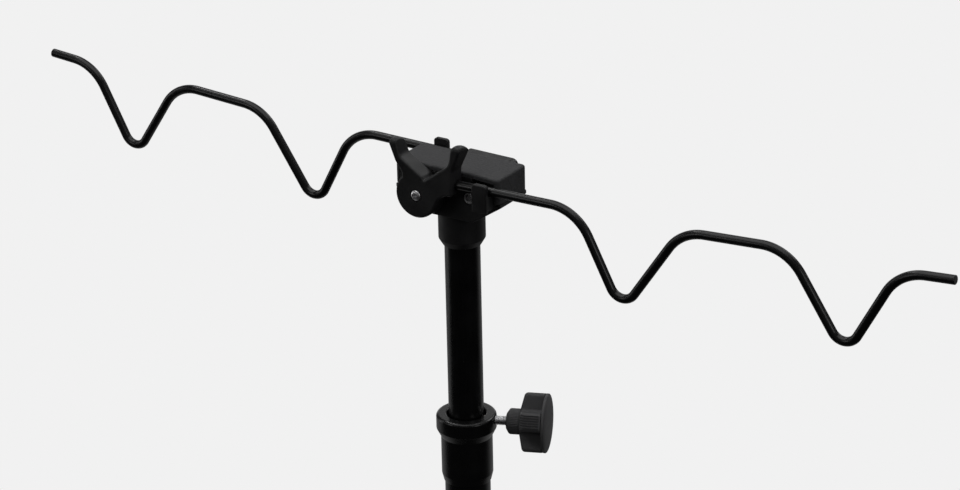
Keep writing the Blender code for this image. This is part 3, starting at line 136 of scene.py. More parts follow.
class Graph:
    """The nodes of a material or a world, with short calls that add and link them."""

    def __init__(self, owner: bpy.types.ID) -> None:
        """Opens the nodes of a material or a world."""
        owner.use_nodes = True
        self.tree = owner.node_tree

    def add(self, kind: str, operation: str = "") -> bpy.types.Node:
        """Adds a node of a kind, set to an operation.

        Args:
            kind: The node's kind.
            operation: What it works out, where it has a choice.

        Returns:
            The node.
        """
        node = self.tree.nodes.new(f"ShaderNode{kind}")
        if operation:
            node.operation = operation
        return node

    def link(self, source: Socket, target: Socket) -> None:
        """Links an output to an input."""
        self.tree.links.new(source, target)

    def place(self, stretch: Corner, turn: Corner) -> Socket:
        """Gives the object's own coordinates, turned and then stretched.

        Args:
            stretch: The factor along each turned axis.
            turn: Euler angles that bring the pattern's axes onto the object's.

        Returns:
            The vector to read a pattern with.
        """
        vector = self.add("TexCoord").outputs["Object"]
        for kind, name, value in (("TEXTURE", "Rotation", turn), ("POINT", "Scale", stretch)):
            node = self.add("Mapping")
            node.vector_type = kind
            node.inputs[name].default_value = value
            self.link(vector, node.inputs["Vector"])
            vector = node.outputs["Vector"]
        return vector

    def pattern(self, kind: Pattern, vector: Socket, scale: float, detail: float) -> Socket:
        """Adds a pattern.

        Args:
            kind: Which pattern it is.
            vector: Where it is read.
            scale: Features per metre.
            detail: Octaves.

        Returns:
            The pattern.
        """
        node = self.add(kind.value)
        node.inputs["Scale"].default_value = scale
        node.inputs["Detail"].default_value = detail
        self.link(vector, node.inputs["Vector"])
        return node.outputs[0]

    def spread(self, value: Socket, low: float, high: float, source: Pair = (0.0, 1.0),
               kind: str = "LINEAR") -> Socket:
        """Maps a pattern onto a range.

        Args:
            value: The pattern.
            low: The range's start.
            high: The range's end.
            source: The pattern's values that give low and high.
            kind: How it goes from one to the other.

        Returns:
            The mapped pattern.
        """
        node = self.add("MapRange")
        node.interpolation_type = kind
        for name, number in zip(("From Min", "From Max", "To Min", "To Max"), (*source, low, high)):
            node.inputs[name].default_value = number
        self.link(value, node.inputs["Value"])
        return node.outputs["Result"]

    def blend(self, factor: Socket, first: Colour, second: Colour) -> Socket:
        """Mixes two colours.

        Args:
            factor: The pattern that mixes them.
            first: The colour at 0.
            second: The colour at 1.

        Returns:
            The mixed colour.
        """
        node = self.add("Mix")
        node.data_type = "RGBA"
        node.inputs[6].default_value = (*first, 1.0)
        node.inputs[7].default_value = (*second, 1.0)
        self.link(factor, node.inputs[0])
        return node.outputs[2]

    def total(self, first: Socket, second: Socket, share: float) -> Socket:
        """Adds a share of a pattern to another.

        Args:
            first: The pattern that is whole.
            second: The pattern that is added.
            share: How much of it is added.

        Returns:
            The sum.
        """
        node = self.add("Math", "MULTIPLY_ADD")
        node.inputs[1].default_value = share
        self.link(second, node.inputs[0])
        self.link(first, node.inputs[2])
        return node.outputs[0]

    def compute(self, operation: str, first: Socket, second: Socket) -> Socket:
        """Works two patterns into one."""
        return self.joined(self.add("Math", operation), first, second)

    def joined(self, node: bpy.types.Node, *sources: Socket) -> Socket:
        """Links sources to a node's first inputs, and gives its first output.

        Args:
            node: The node.
            sources: What its inputs take, in order.

        Returns:
            The output.
        """
        for source, target in zip(sources, node.inputs):
            self.link(source, target)
        return node.outputs[0]

    def measure(self, operation: str, vector: Socket, fixed: Corner = ORIGIN) -> Socket:
        """Measures a vector, by itself or against a fixed one.

        Args:
            operation: What is worked out.
            vector: The vector.
            fixed: The fixed vector.

        Returns:
            The number.
        """
        node = self.add("VectorMath", operation)
        node.inputs[1].default_value = fixed
        self.link(vector, node.inputs[0])
        return node.outputs["Value"]

    def bump(self, height: Socket, depth: float) -> Socket:
        """Raises a surface by a pattern.

        Args:
            height: The pattern.
            depth: The height, in metres, that 1 stands for.

        Returns:
            The raised surface's normal.
        """
        node = self.add("Bump")
        node.inputs["Distance"].default_value = depth
        self.link(height, node.inputs["Height"])
        return node.outputs["Normal"]


@dataclass(frozen=True)
class Finish:
    """A surface: its colour and gloss, and the grain and mottling that break them up.

    Scales are features per metre, depths are metres.
    """

    slot: Slot
    colour: Colour
    lighter: Colour
    roughness: Pair
    grain_scale: float
    grain_depth: float
    metallic: float = 0.0
    stretch: Corner = EVEN
    cell_share: float = 0.0
    cell_scale: float = 0.6
    mottle_scale: float = 60.0
    mottle_detail: float = 4.0
    grain_detail: float = 3.0
    tone_share: float = 0.6
    tone_span: Pair = (0.55, 1.05)
    gloss_share: float = 0.4
    gloss_span: Pair = (0.5, 0.9)

    def material(self, name: str, turn: Corner) -> bpy.types.Material:
        """Makes a piece's own material.

        Args:
            name: The piece's name.
            turn: Euler angles of the grain's Z on the piece.

        Returns:
            The material.
        """
        material = bpy.data.materials.new(f"{name}_finish")
        graph = Graph(material)
        inputs = graph.tree.nodes["Principled BSDF"].inputs
        inputs["Metallic"].default_value = self.metallic
        along = graph.place(self.stretch, turn)
        plain = graph.place(EVEN, ORIGIN)
        mottle = graph.pattern(Pattern.NOISE, plain, self.mottle_scale, self.mottle_detail)
        grain = graph.pattern(Pattern.NOISE, along, self.grain_scale, self.grain_detail)
        if self.cell_share > 0.0:
            cells = graph.pattern(Pattern.CELLS, along, self.grain_scale * self.cell_scale, 0.0)
            grain = graph.total(grain, cells, -self.cell_share)
        tone = graph.spread(graph.total(mottle, grain, self.tone_share), 0.0, 1.0, self.tone_span)
        gloss = graph.spread(graph.total(mottle, grain, self.gloss_share), *self.roughness, self.gloss_span)
        graph.link(graph.blend(tone, self.colour, self.lighter), inputs["Base Color"])
        graph.link(gloss, inputs["Roughness"])
        graph.link(graph.bump(grain, self.grain_depth), inputs["Normal"])
        return material


COATED_WIRE = Finish(Slot.WIRE, (0.003, 0.003, 0.0033), (0.007, 0.007, 0.0075), (0.24, 0.34), 700.0,
                     0.00004)
BLACK_MOULDING = Finish(Slot.MOULDING, (0.008, 0.008, 0.0086), (0.015, 0.015, 0.016), (0.42, 0.6), 1800.0,
                        0.00005)
GRAINED_COVER = Finish(Slot.COVER, (0.027, 0.027, 0.029), (0.066, 0.066, 0.069), (0.6, 0.8), 850.0, 0.0002,
                       cell_share=0.5)
ANODISED_TUBE = Finish(Slot.TUBE, (0.002, 0.002, 0.0022), (0.005, 0.005, 0.0056), (0.24, 0.34), 1600.0,
                       0.000012, stretch=(1.0, 1.0, 0.03))
SATIN_COLLAR = Finish(Slot.MOULDING, (0.003, 0.003, 0.0033), (0.007, 0.007, 0.0075), (0.2, 0.32), 1500.0,
                      0.00002)
KNOB_MOULDING = Finish(Slot.KNOB, (0.062, 0.062, 0.064), (0.088, 0.088, 0.091), (0.5, 0.66), 2200.0,
                       0.00006)
PALE_BUSH = Finish(Slot.BUSH, (0.5, 0.49, 0.45), (0.6, 0.59, 0.55), (0.45, 0.6), 1200.0, 0.00003)
PLATED_STEEL = Finish(Slot.PLATED, (0.74, 0.74, 0.75), (0.9, 0.9, 0.91), (0.2, 0.36), 2500.0, 0.00001,
                      metallic=1.0)
DARK_STEEL = Finish(Slot.DARK, (0.5, 0.5, 0.505), (0.66, 0.66, 0.67), (0.42, 0.56), 2000.0, 0.00002,
                    metallic=1.0)
BLACK_RUBBER = Finish(Slot.RUBBER, (0.016, 0.016, 0.016), (0.028, 0.028, 0.028), (0.75, 0.92), 900.0,
                      0.00015)


# Modelling by hand


def deselect() -> None:
    """Leaves edit mode and deselects every object."""
    held = bpy.context.view_layer.objects.active
    if held is not None and held.mode != "OBJECT":
        bpy.ops.object.mode_set(mode="OBJECT")
    bpy.ops.object.select_all(action="DESELECT")


def hold(piece: Piece) -> None:
    """Makes a piece the only one selected, and active.

    Args:
        piece: The piece.
    """
    deselect()
    piece.select_set(True)
    bpy.context.view_layer.objects.active = piece


def open_mesh(piece: Piece) -> None:
    """Holds a piece in edit mode, with all of its mesh selected.

    Args:
        piece: The piece.
    """
    hold(piece)
    bpy.ops.object.mode_set(mode="EDIT")
    bpy.context.tool_settings.mesh_select_mode = (True, False, False)
    bpy.ops.mesh.select_all(action="SELECT")


def turn_outwards(merge: bool = True) -> None:
    """Turns the open mesh's faces outwards.

    Args:
        merge: Whether its doubles are merged first.
    """
    bpy.ops.mesh.select_all(action="SELECT")
    if merge:
        bpy.ops.mesh.remove_doubles(threshold=MERGE)
    bpy.ops.mesh.normals_make_consistent(inside=False)


def pick_faces(piece: Piece, test: Callable[[Vector, Vector], bool]) -> None:
    """Selects faces of a piece in edit mode.

    Args:
        piece: The piece in hand.
        test: Says whether a face with this middle and this normal is wanted.
    """
    bpy.context.tool_settings.mesh_select_mode = (False, False, True)
    bpy.ops.mesh.select_all(action="DESELECT")
    shape = bmesh.from_edit_mesh(piece.data)
    shape.normal_update()
    for face in shape.faces:
        face.select = test(face.calc_center_bounds(), face.normal)
    shape.select_flush_mode()
    bmesh.update_edit_mesh(piece.data)


def rounded(corners: list[Corner], closed: bool, step: float = ARC_STEP) -> list[Vector]:
    """Draws a line through corners, with an arc at each.

    Args:
        corners: Each corner's place across and up, and its radius.
        closed: Whether the last corner joins the first.
        step: The most that an arc turns from one point to the next.

    Returns:
        The line's points.
    """
    points: list[Vector] = []
    for i, (across, up, radius) in enumerate(corners):
        corner = Vector((across, up))
        if radius <= 0.0 or (not closed and i in (0, len(corners) - 1)):
            points.append(corner)
            continue
        back = (Vector(corners[i - 1][:2]) - corner).normalized()
        ahead = (Vector(corners[(i + 1) % len(corners)][:2]) - corner).normalized()
        opening = back.angle(ahead)
        centre = corner + (back + ahead).normalized() * radius / math.sin(opening / 2)
        start = corner + back * radius / math.tan(opening / 2) - centre
        sweep = math.pi - opening
        way = 1.0 if back.cross(ahead) < 0.0 else -1.0
        steps = max(2, math.ceil(sweep / step))
        points += [centre + Matrix.Rotation(way * sweep * k / steps, 2) @ start for k in range(steps + 1)]
    near = 0.02
    return [point for i, point in enumerate(points) if i == 0 or (point - points[i - 1]).length > near]


def trace(points: list[Vector]) -> Piece:
    """Draws a line edge by edge in the XZ plane, and stays in edit mode with all of it selected.

    Args:
        points: The line's points, across and up.

    Returns:
        The piece in hand.
    """
    deselect()
    bpy.ops.mesh.primitive_plane_add(size=1.0, location=ORIGIN)
    piece = bpy.context.view_layer.objects.active
    open_mesh(piece)
    bpy.ops.mesh.merge(type="CENTER")
    here = points[0]
    bpy.ops.transform.translate(value=(here.x, 0.0, here.y))
    for point in points[1:]:
        step = point - here
        bpy.ops.mesh.extrude_vertices_move(TRANSFORM_OT_translate={"value": (step.x, 0.0, step.y)})
        here = point
    bpy.ops.mesh.select_all(action="SELECT")
    return piece


def spun(points: list[Vector], sides: int) -> Piece:
    """Spins a line about Z.

    Args:
        points: The line's points, as radius and height.
        sides: Faces round the axis.

    Returns:
        The spun piece.
    """
    piece = trace(points)
    bpy.ops.mesh.spin(steps=sides, angle=FULL_TURN, center=ORIGIN, axis=(0.0, 0.0, 1.0))
    turn_outwards()
    deselect()
    return piece


def turned(profile: list[Corner], sides: int = ROUND_SIDES, ring: bool = False) -> Piece:
    """Turns a profile about Z.

    Args:
        profile: Corners of the profile as radius, height and rounding.
        sides: Faces round the axis.
        ring: Whether the profile closes on itself and not on the axis.

    Returns:
        The turned piece.
    """
    points = rounded(profile, closed=ring)
    return spun(points + points[:1] if ring else points, sides)


def rod(radius: float, low: float, high: float, sides: int = SMALL_SIDES) -> Piece:
    """Turns a plain rod about Z."""
    return turned([(0.0, low, 0.0), (radius, low, 0.0), (radius, high, 0.0), (0.0, high, 0.0)], sides)


def pipe(radius: float, low: float, high: float, wall: float, edge: float = 0.4) -> Piece:
    """Turns a tube about Z, and shades it.

    Args:
        radius: Its outer radius.
        low: Its lower end's level.
        high: Its upper end's level.
        wall: Its wall's thickness.
        edge: The rounding of its ends outside.

    Returns:
        The tube.
    """
    inner = radius - wall
    profile = [(inner, low, 0.2), (radius, low, edge), (radius, high, edge), (inner, high, 0.2)]
    return smooth(turned(profile, ring=True))


def upright(node: str, level: float) -> Corner:
    """Gives an upright tube's radius and its ends over a level, in millimetres, from its box."""
    low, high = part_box(node)
    return (high.x - low.x) / 2 / MM, (low.z - level) / MM, (high.z - level) / MM


def round_rim(edge: float) -> None:
    """Raises the picked face in small insets, so that its rim is rounded.

    Args:
        edge: The rounding.
    """
    steps = 4
    for k in range(steps):
        start = math.pi / 2 * k / steps
        end = math.pi / 2 * (k + 1) / steps
        bpy.ops.mesh.inset(thickness=edge * (math.cos(start) - math.cos(end)),
                           depth=edge * (math.sin(end) - math.sin(start)))


def plate(outline: list[Vector], start: float, end: float, edges: Pair, layers: int = 1) -> Piece:
    """Makes a plate whose outline lies in XZ.

    Args:
        outline: The outline's points.
        start: The plate's lowest Y.
        end: The plate's highest Y.
        edges: How far the rims at the start and the end are rounded.
        layers: In how many steps the plate is drawn up.

    Returns:
        The plate.
    """
    piece = trace(outline)
    bpy.ops.mesh.edge_face_add()
    low = start + edges[0]
    high = end - edges[1]
    bpy.ops.transform.translate(value=(0.0, low, 0.0))
    for _ in range(layers):
        bpy.ops.mesh.extrude_region_move(TRANSFORM_OT_translate={"value": (0.0, (high - low) / layers, 0.0)})
    turn_outwards(merge=False)
    middle = (low + high) / 2
    for edge, far in zip(edges, (False, True)):
        pick_faces(piece, lambda place, normal: abs(normal.y) > 0.9 and (place.y > middle) == far)
        round_rim(edge)
    deselect()
    return piece


def block(low: Corner, high: Corner) -> Piece:
    """Makes a box between two corners.

    Args:
        low: The corner where each coordinate is lowest.
        high: The corner where each is highest.

    Returns:
        The box.
    """
    deselect()
    bpy.ops.mesh.primitive_cube_add(size=1.0, location=ORIGIN)
    piece = bpy.context.view_layer.objects.active
    open_mesh(piece)
    bpy.ops.transform.resize(value=[b - a for a, b in zip(low, high)])
    bpy.ops.transform.translate(value=[(a + b) / 2 for a, b in zip(low, high)])
    deselect()
    return piece


def moved(piece: Piece, matrix: Matrix) -> Piece:
    """Moves a piece's mesh by a matrix.

    Args:
        piece: The piece.
        matrix: The matrix.

    Returns:
        The piece.
    """
    piece.data.transform(matrix)
    piece.data.update()
    return piece


def along_x(piece: Piece, place: Corner = ORIGIN) -> Piece:
    """Lays a piece about Z along X, through a place."""
    return moved(piece, Matrix.Translation(place) @ ALONG_X)


def along_y(piece: Piece, place: Corner = ORIGIN) -> Piece:
    """Lays a piece about Z along Y, through a place."""
    return moved(piece, Matrix.Translation(place) @ ALONG_Y)


def about_z(turn: float) -> Matrix:
    """Gives a turn about Z."""
    return Matrix.Rotation(turn, 4, "Z")


def combine(piece: Piece, tool: Piece, how: Joinery = Joinery.CUT) -> Piece:
    """Cuts a tool's solid from a piece, adds it, or keeps what both share, and removes the tool.

    Args:
        piece: The piece that is changed.
        tool: The solid that changes it.
        how: What the tool does.

    Returns:
        The piece.
    """
    hold(piece)
    modifier = piece.modifiers.new(how.name.lower(), "BOOLEAN")
    modifier.operation = how.value
    modifier.solver = "EXACT"
    modifier.object = tool
    bpy.ops.object.modifier_apply(modifier=modifier.name)
    bpy.data.objects.remove(tool, do_unlink=True)
    return piece


def copied(piece: Piece) -> Piece:
    """Copies a piece, with a mesh of its own.

    Args:
        piece: The piece.

    Returns:
        The copy.
    """
    copy = piece.copy()
    copy.data = piece.data.copy()
    bpy.context.scene.collection.objects.link(copy)
    return copy


def smooth(piece: Piece, angle: float = SHARP) -> Piece:
    """Shades a piece smooth up to an angle, with large faces left flat.

    Args:
        piece: The piece.
        angle: The least angle between faces that stays sharp.

    Returns:
        The piece.
    """
    hold(piece)
    bpy.ops.object.shade_smooth_by_angle(angle=angle)
    modifier = piece.modifiers.new("flat_faces", "WEIGHTED_NORMAL")
    modifier.keep_sharp = True
    bpy.ops.object.modifier_apply(modifier=modifier.name)
    return piece


def install(piece: Piece, node: str, finish: Finish, place: Matrix, turn: Corner = ORIGIN) -> None:
    """Sets a finished piece where a node of the model is, and dresses it.

    Args:
        piece: The piece, in millimetres about its own frame.
        node: The node that it stands for.
        finish: Its surface.
        place: Its frame, in metres.
        turn: Euler angles of its grain.
    """
    moved(piece, place @ Matrix.Scale(MM, 4))
    piece.name = f"{node}_fine"
    piece.data.name = piece.name
    piece.data.materials.clear()
    piece.data.materials.append(finish.material(piece.name, turn))
    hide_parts(node)
    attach(piece, frame["nodes"][node]["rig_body"])
    log.info("%s: %d faces, %s", piece.name, len(piece.data.polygons), finish.slot.value)


def dress(node: str, finish: Finish) -> None:
    """Gives a node that stays its own material.

    Args:
        node: The node's name.
        finish: Its surface.
    """
    piece = frame["nodes"][node]
    piece.data.materials.clear()
    piece.data.materials.append(finish.material(node, ORIGIN))
    log.info("%s: kept, %s", node, finish.slot.value)


def discard(pieces: list[Piece]) -> None:
    """Removes the pieces that copies were made from."""
    for piece in pieces:
        bpy.data.objects.remove(piece, do_unlink=True)


def joint(name: str) -> dict:
    """Gives the record's joint of a name."""
    return next(item for item in frame["joints"] if item["name"] == name)


def axes(along: Vector, side: Vector, place: Vector) -> Matrix:
    """Gives the frame whose Z is along and whose Y is side, at a place."""
    columns = [side.cross(along), side, along]
    return Matrix.Translation(place) @ Matrix([[c[i] for c in columns] for i in range(3)]).to_4x4()


# Head


@dataclass
class ArmWire:
    """One bent rod arm, about its pivot, with the arm along X."""

    root_run: float
    diameter: float = 5.6
    grip_start: float = 10.7
    first_valley: Corner = (29.7, 40.5, 58.6)
    middle_run: Pair = (68.0, 2.9)
    second_valley: Corner = (36.9, 32.0, 57.4)
    end_run: Pair = (34.0, 2.1)
    crest_radius: float = 29.0
    valley_radius: float = 9.0
    bend_step: float = math.radians(3.0)
    end_edge: float = 0.5

    def path(self) -> list[Vector]:
        """Draws the wire's centre line.

        Returns:
            Its points.
        """
        across, up = PIVOT_OFFSET + self.root_run, PIVOT_DROP
        corners = [(self.grip_start, up, 0.0), (across, up, self.crest_radius)]
        for fall, climb, depth in (self.first_valley, self.second_valley):
            across += fall
            corners.append((across, up - depth, self.valley_radius))
            across += climb
            corners.append((across, up, self.crest_radius))
            if len(corners) == 4:
                across += self.middle_run[0]
                up += self.middle_run[1]
                corners.append((across, up, self.crest_radius))
        run = Vector(self.end_run)
        end = Vector((across, up)) + run - run.normalized() * self.end_edge
        return rounded([*corners, (end.x, end.y, 0.0)], closed=False, step=self.bend_step)

    def build(self) -> Piece:
        """Bends the wire and rounds its free end.

        Returns:
            The wire.
        """
        points = self.path()
        trace(points)
        bpy.ops.object.mode_set(mode="OBJECT")
        bpy.ops.object.convert(target="CURVE")
        curve = bpy.context.view_layer.objects.active.data
        curve.dimensions = "3D"
        curve.bevel_depth = self.diameter / 2
        curve.bevel_resolution = WIRE_RESOLUTION
        curve.use_fill_caps = True
        bpy.ops.object.convert(target="MESH")
        piece = bpy.context.view_layer.objects.active
        open_mesh(piece)
        turn_outwards()
        tip = points[-1].x
        pick_faces(piece, lambda place, normal: normal.x > 0.9 and abs(place.x - tip) < 0.5)
        round_rim(self.end_edge)
        deselect()
        return moved(smooth(piece), Matrix.Translation((0.0, -WIRE_PLANE, 0.0)))


@dataclass
class ArmBracket:
    """A moulded bracket that turns on a pivot and grips an arm's wire, about the pivot."""

    inner_face: float = 15.3
    thickness: float = 11.7
    inner_edge: float = 0.8
    lobe_radius: float = 14.4
    lobe_top_turn: float = math.radians(133.0)
    waist_turn: float = math.radians(65.0)
    waist_radius: float = 10.0
    mouth_reach: float = 26.2
    mouth_below: float = 6.5
    mouth_round: float = 2.2
    wire_bore: float = 3.1
    grip_length: float = 15.8
    shank_bore: float = 2.3
    head_bore: float = 3.8
    head_seat: float = 2.7

    @property
    def outer_face(self) -> float:
        """How far the bracket's outer face is from the block's middle."""
        return self.inner_face + self.thickness

    def lobe(self) -> list[Corner]:
        """Draws the round lobe, its lower waist and the mouth's foot.

        Returns:
            Their corners.
        """
        bottom = PIVOT_DROP - self.mouth_below
        foot_turn = 1.5 * math.pi + self.waist_turn
        steps = math.ceil((foot_turn - self.lobe_top_turn) / ARC_STEP)
        corners = []
        for k in range(steps + 1):
            turn = self.lobe_top_turn + (foot_turn - self.lobe_top_turn) * k / steps
            corners.append((self.lobe_radius * math.cos(turn), self.lobe_radius * math.sin(turn), 0.0))
        across, up = corners[-1][:2]
        return [*corners, (across - (bottom - up) * math.tan(foot_turn), bottom, self.waist_radius),
                (self.mouth_reach, bottom, self.mouth_round)]

    def bored(self, piece: Piece) -> Piece:
        """Bores a bracket for its wire, its bolt and the bolt's head.

        Args:
            piece: The bracket.

        Returns:
            The bracket.
        """
        grip = rod(self.wire_bore, self.mouth_reach - self.grip_length, self.mouth_reach + OVERCUT)
        combine(piece, along_x(grip, (0.0, -WIRE_PLANE, PIVOT_DROP)))
        outside = -self.outer_face
        combine(piece, along_y(rod(self.shank_bore, outside - OVERCUT, -self.inner_face + OVERCUT)))
        return combine(piece, along_y(rod(self.head_bore, outside - OVERCUT, outside + self.head_seat)))


@dataclass
class ForkedBracket(ArmBracket):
    """The front bracket, whose two horns make a cradle."""

    outer_edge: float = 1.5
    cradle_reach: float = 6.2
    floor_above: float = 0.8
    half_span: float = 17.9
    rises: Pair = (12.8, 12.6)
    corner_shift: float = 0.6
    step: Pair = (1.5, 2.2)
    tops: Pair = (27.0, 24.5)
    horn_thickness: Pair = (7.3, 5.7)
    horn_lean: float = 2.0
    neck: Pair = (2.6, 10.0)
    top_fall: float = 2.6
    crown: float = 2.6
    fall_height: float = 9.0
    waist_rise: float = 3.0
    inner_edge: float = 1.3
    layers: int = 8

    def outline(self) -> list[Vector]:
        """Draws the bracket's outline.

        Returns:
            Its points.
        """
        floor = PIVOT_DROP + self.floor_above
        neck = PIVOT_DROP + self.neck[1]
        inner = self.cradle_reach - self.half_span
        outer = self.cradle_reach + self.half_span
        outer_top, inner_top = (PIVOT_DROP + top for top in self.tops)
        turn = self.lobe_top_turn
        return rounded(self.lobe() + [
            (outer + self.neck[0], neck, 5.0),
            (outer + self.horn_lean + self.horn_thickness[0], outer_top, 2.8),
            (outer + self.horn_lean, outer_top, 3.4),
            (outer, floor + self.rises[0], 8.0),
            (self.cradle_reach, floor, 0.8),
            (self.cradle_reach - self.step[0], floor + self.step[1], 2.5),
            (inner + self.corner_shift, floor + self.rises[1], 5.0),
            (inner - self.horn_lean, inner_top, 2.4),
            (inner - self.horn_lean - self.horn_thickness[1], inner_top, 2.4),
            (inner - self.neck[0], neck, 6.0),
            (self.lobe_radius * math.cos(turn), self.lobe_radius * math.sin(turn) + self.waist_rise, 2.0),
        ], closed=True)

    def sloped(self, piece: Piece) -> Piece:
        """Rounds both horns' tops over their depth, and draws them down towards the block.

        Args:
            piece: The bracket.

        Returns:
            The bracket.
        """
        for vertex in piece.data.vertices:
            top = PIVOT_DROP + self.tops[0 if vertex.co.x > self.cradle_reach else 1]
            share = min(1.0, max(0.0, (vertex.co.z - top + self.fall_height) / self.fall_height))
            depth = (vertex.co.y + self.outer_face) / self.thickness
            arch = 1.0 - math.sqrt(max(0.0, 1.0 - (2.0 * depth - 1.0) ** 2))
            vertex.co.z -= (self.top_fall * depth + self.crown * arch) * share
        return piece

    def build(self) -> Piece:
        """Makes the bracket.

        Returns:
            The bracket.
        """
        edges = (self.outer_edge, self.inner_edge)
        piece = plate(self.outline(), -self.outer_face, -self.inner_face, edges, self.layers)
        return smooth(self.bored(self.sloped(piece)))


@dataclass
class PlainBracket(ArmBracket):
    """The back bracket, low and plain."""

    outer_edge: float = 2.2
    above_wire: float = 4.1

    def build(self) -> Piece:
        """Makes the bracket.

        Returns:
            The bracket.
        """
        top = PIVOT_DROP + self.above_wire
        outline = rounded(self.lobe() + [
            (self.mouth_reach, top, self.mouth_round),
            (self.lobe_radius * math.cos(self.lobe_top_turn) + 1.5, top, 4.0),
        ], closed=True)
        piece = plate(outline, -self.outer_face, -self.inner_face, (self.outer_edge, self.inner_edge))
        return smooth(self.bored(piece))


@dataclass
class Pivot:
    """The bolt that an arm turns on, and its round nut, along Y."""

    head_radius: float = 3.5
    head_height: float = 3.2
    head_proud: float = 0.8
    shank_radius: float = 2.0
    key_width: float = 3.2
    key_depth: float = 2.9
    nut_height: float = 3.0

    def bolt(self) -> Piece:
        """Makes the bolt, with a hexagon socket in its round head.

        Returns:
            The bolt.
        """
        top = -BRACKET_FACE - self.head_proud
        seat = top + self.head_height
        end = BLOCK_FACE - 2 * SEAT_GAP
        piece = along_y(turned([
            (0.0, top, 0.0), (self.key_width * 0.62, top, 0.4), (self.head_radius, top + 0.9, 1.3),
            (self.head_radius, seat, 0.15), (self.shank_radius, seat, 0.1), (self.shank_radius, end, 0.3),
            (0.0, end, 0.0),
        ], SMALL_SIDES))
        key = rod(self.key_width / math.sqrt(3), top - OVERCUT, top + self.key_depth, sides=6)
        return smooth(combine(piece, along_y(key)))

    def nut(self) -> Piece:
        """Makes the round nut, with a rim round its face.

        Returns:
            The nut.
        """
        low = BLOCK_FACE - self.nut_height
        bore = self.shank_radius + SEAT_GAP
        radius = self.head_radius
        return smooth(along_y(turned([
            (bore, low, 0.0), (radius, low, 0.1), (radius, BLOCK_FACE, 0.3), (radius - 0.7, BLOCK_FACE, 0.15),
            (radius - 0.85, BLOCK_FACE - 0.35, 0.1), (bore, BLOCK_FACE - 0.35, 0.1),
        ], SMALL_SIDES, ring=True)))


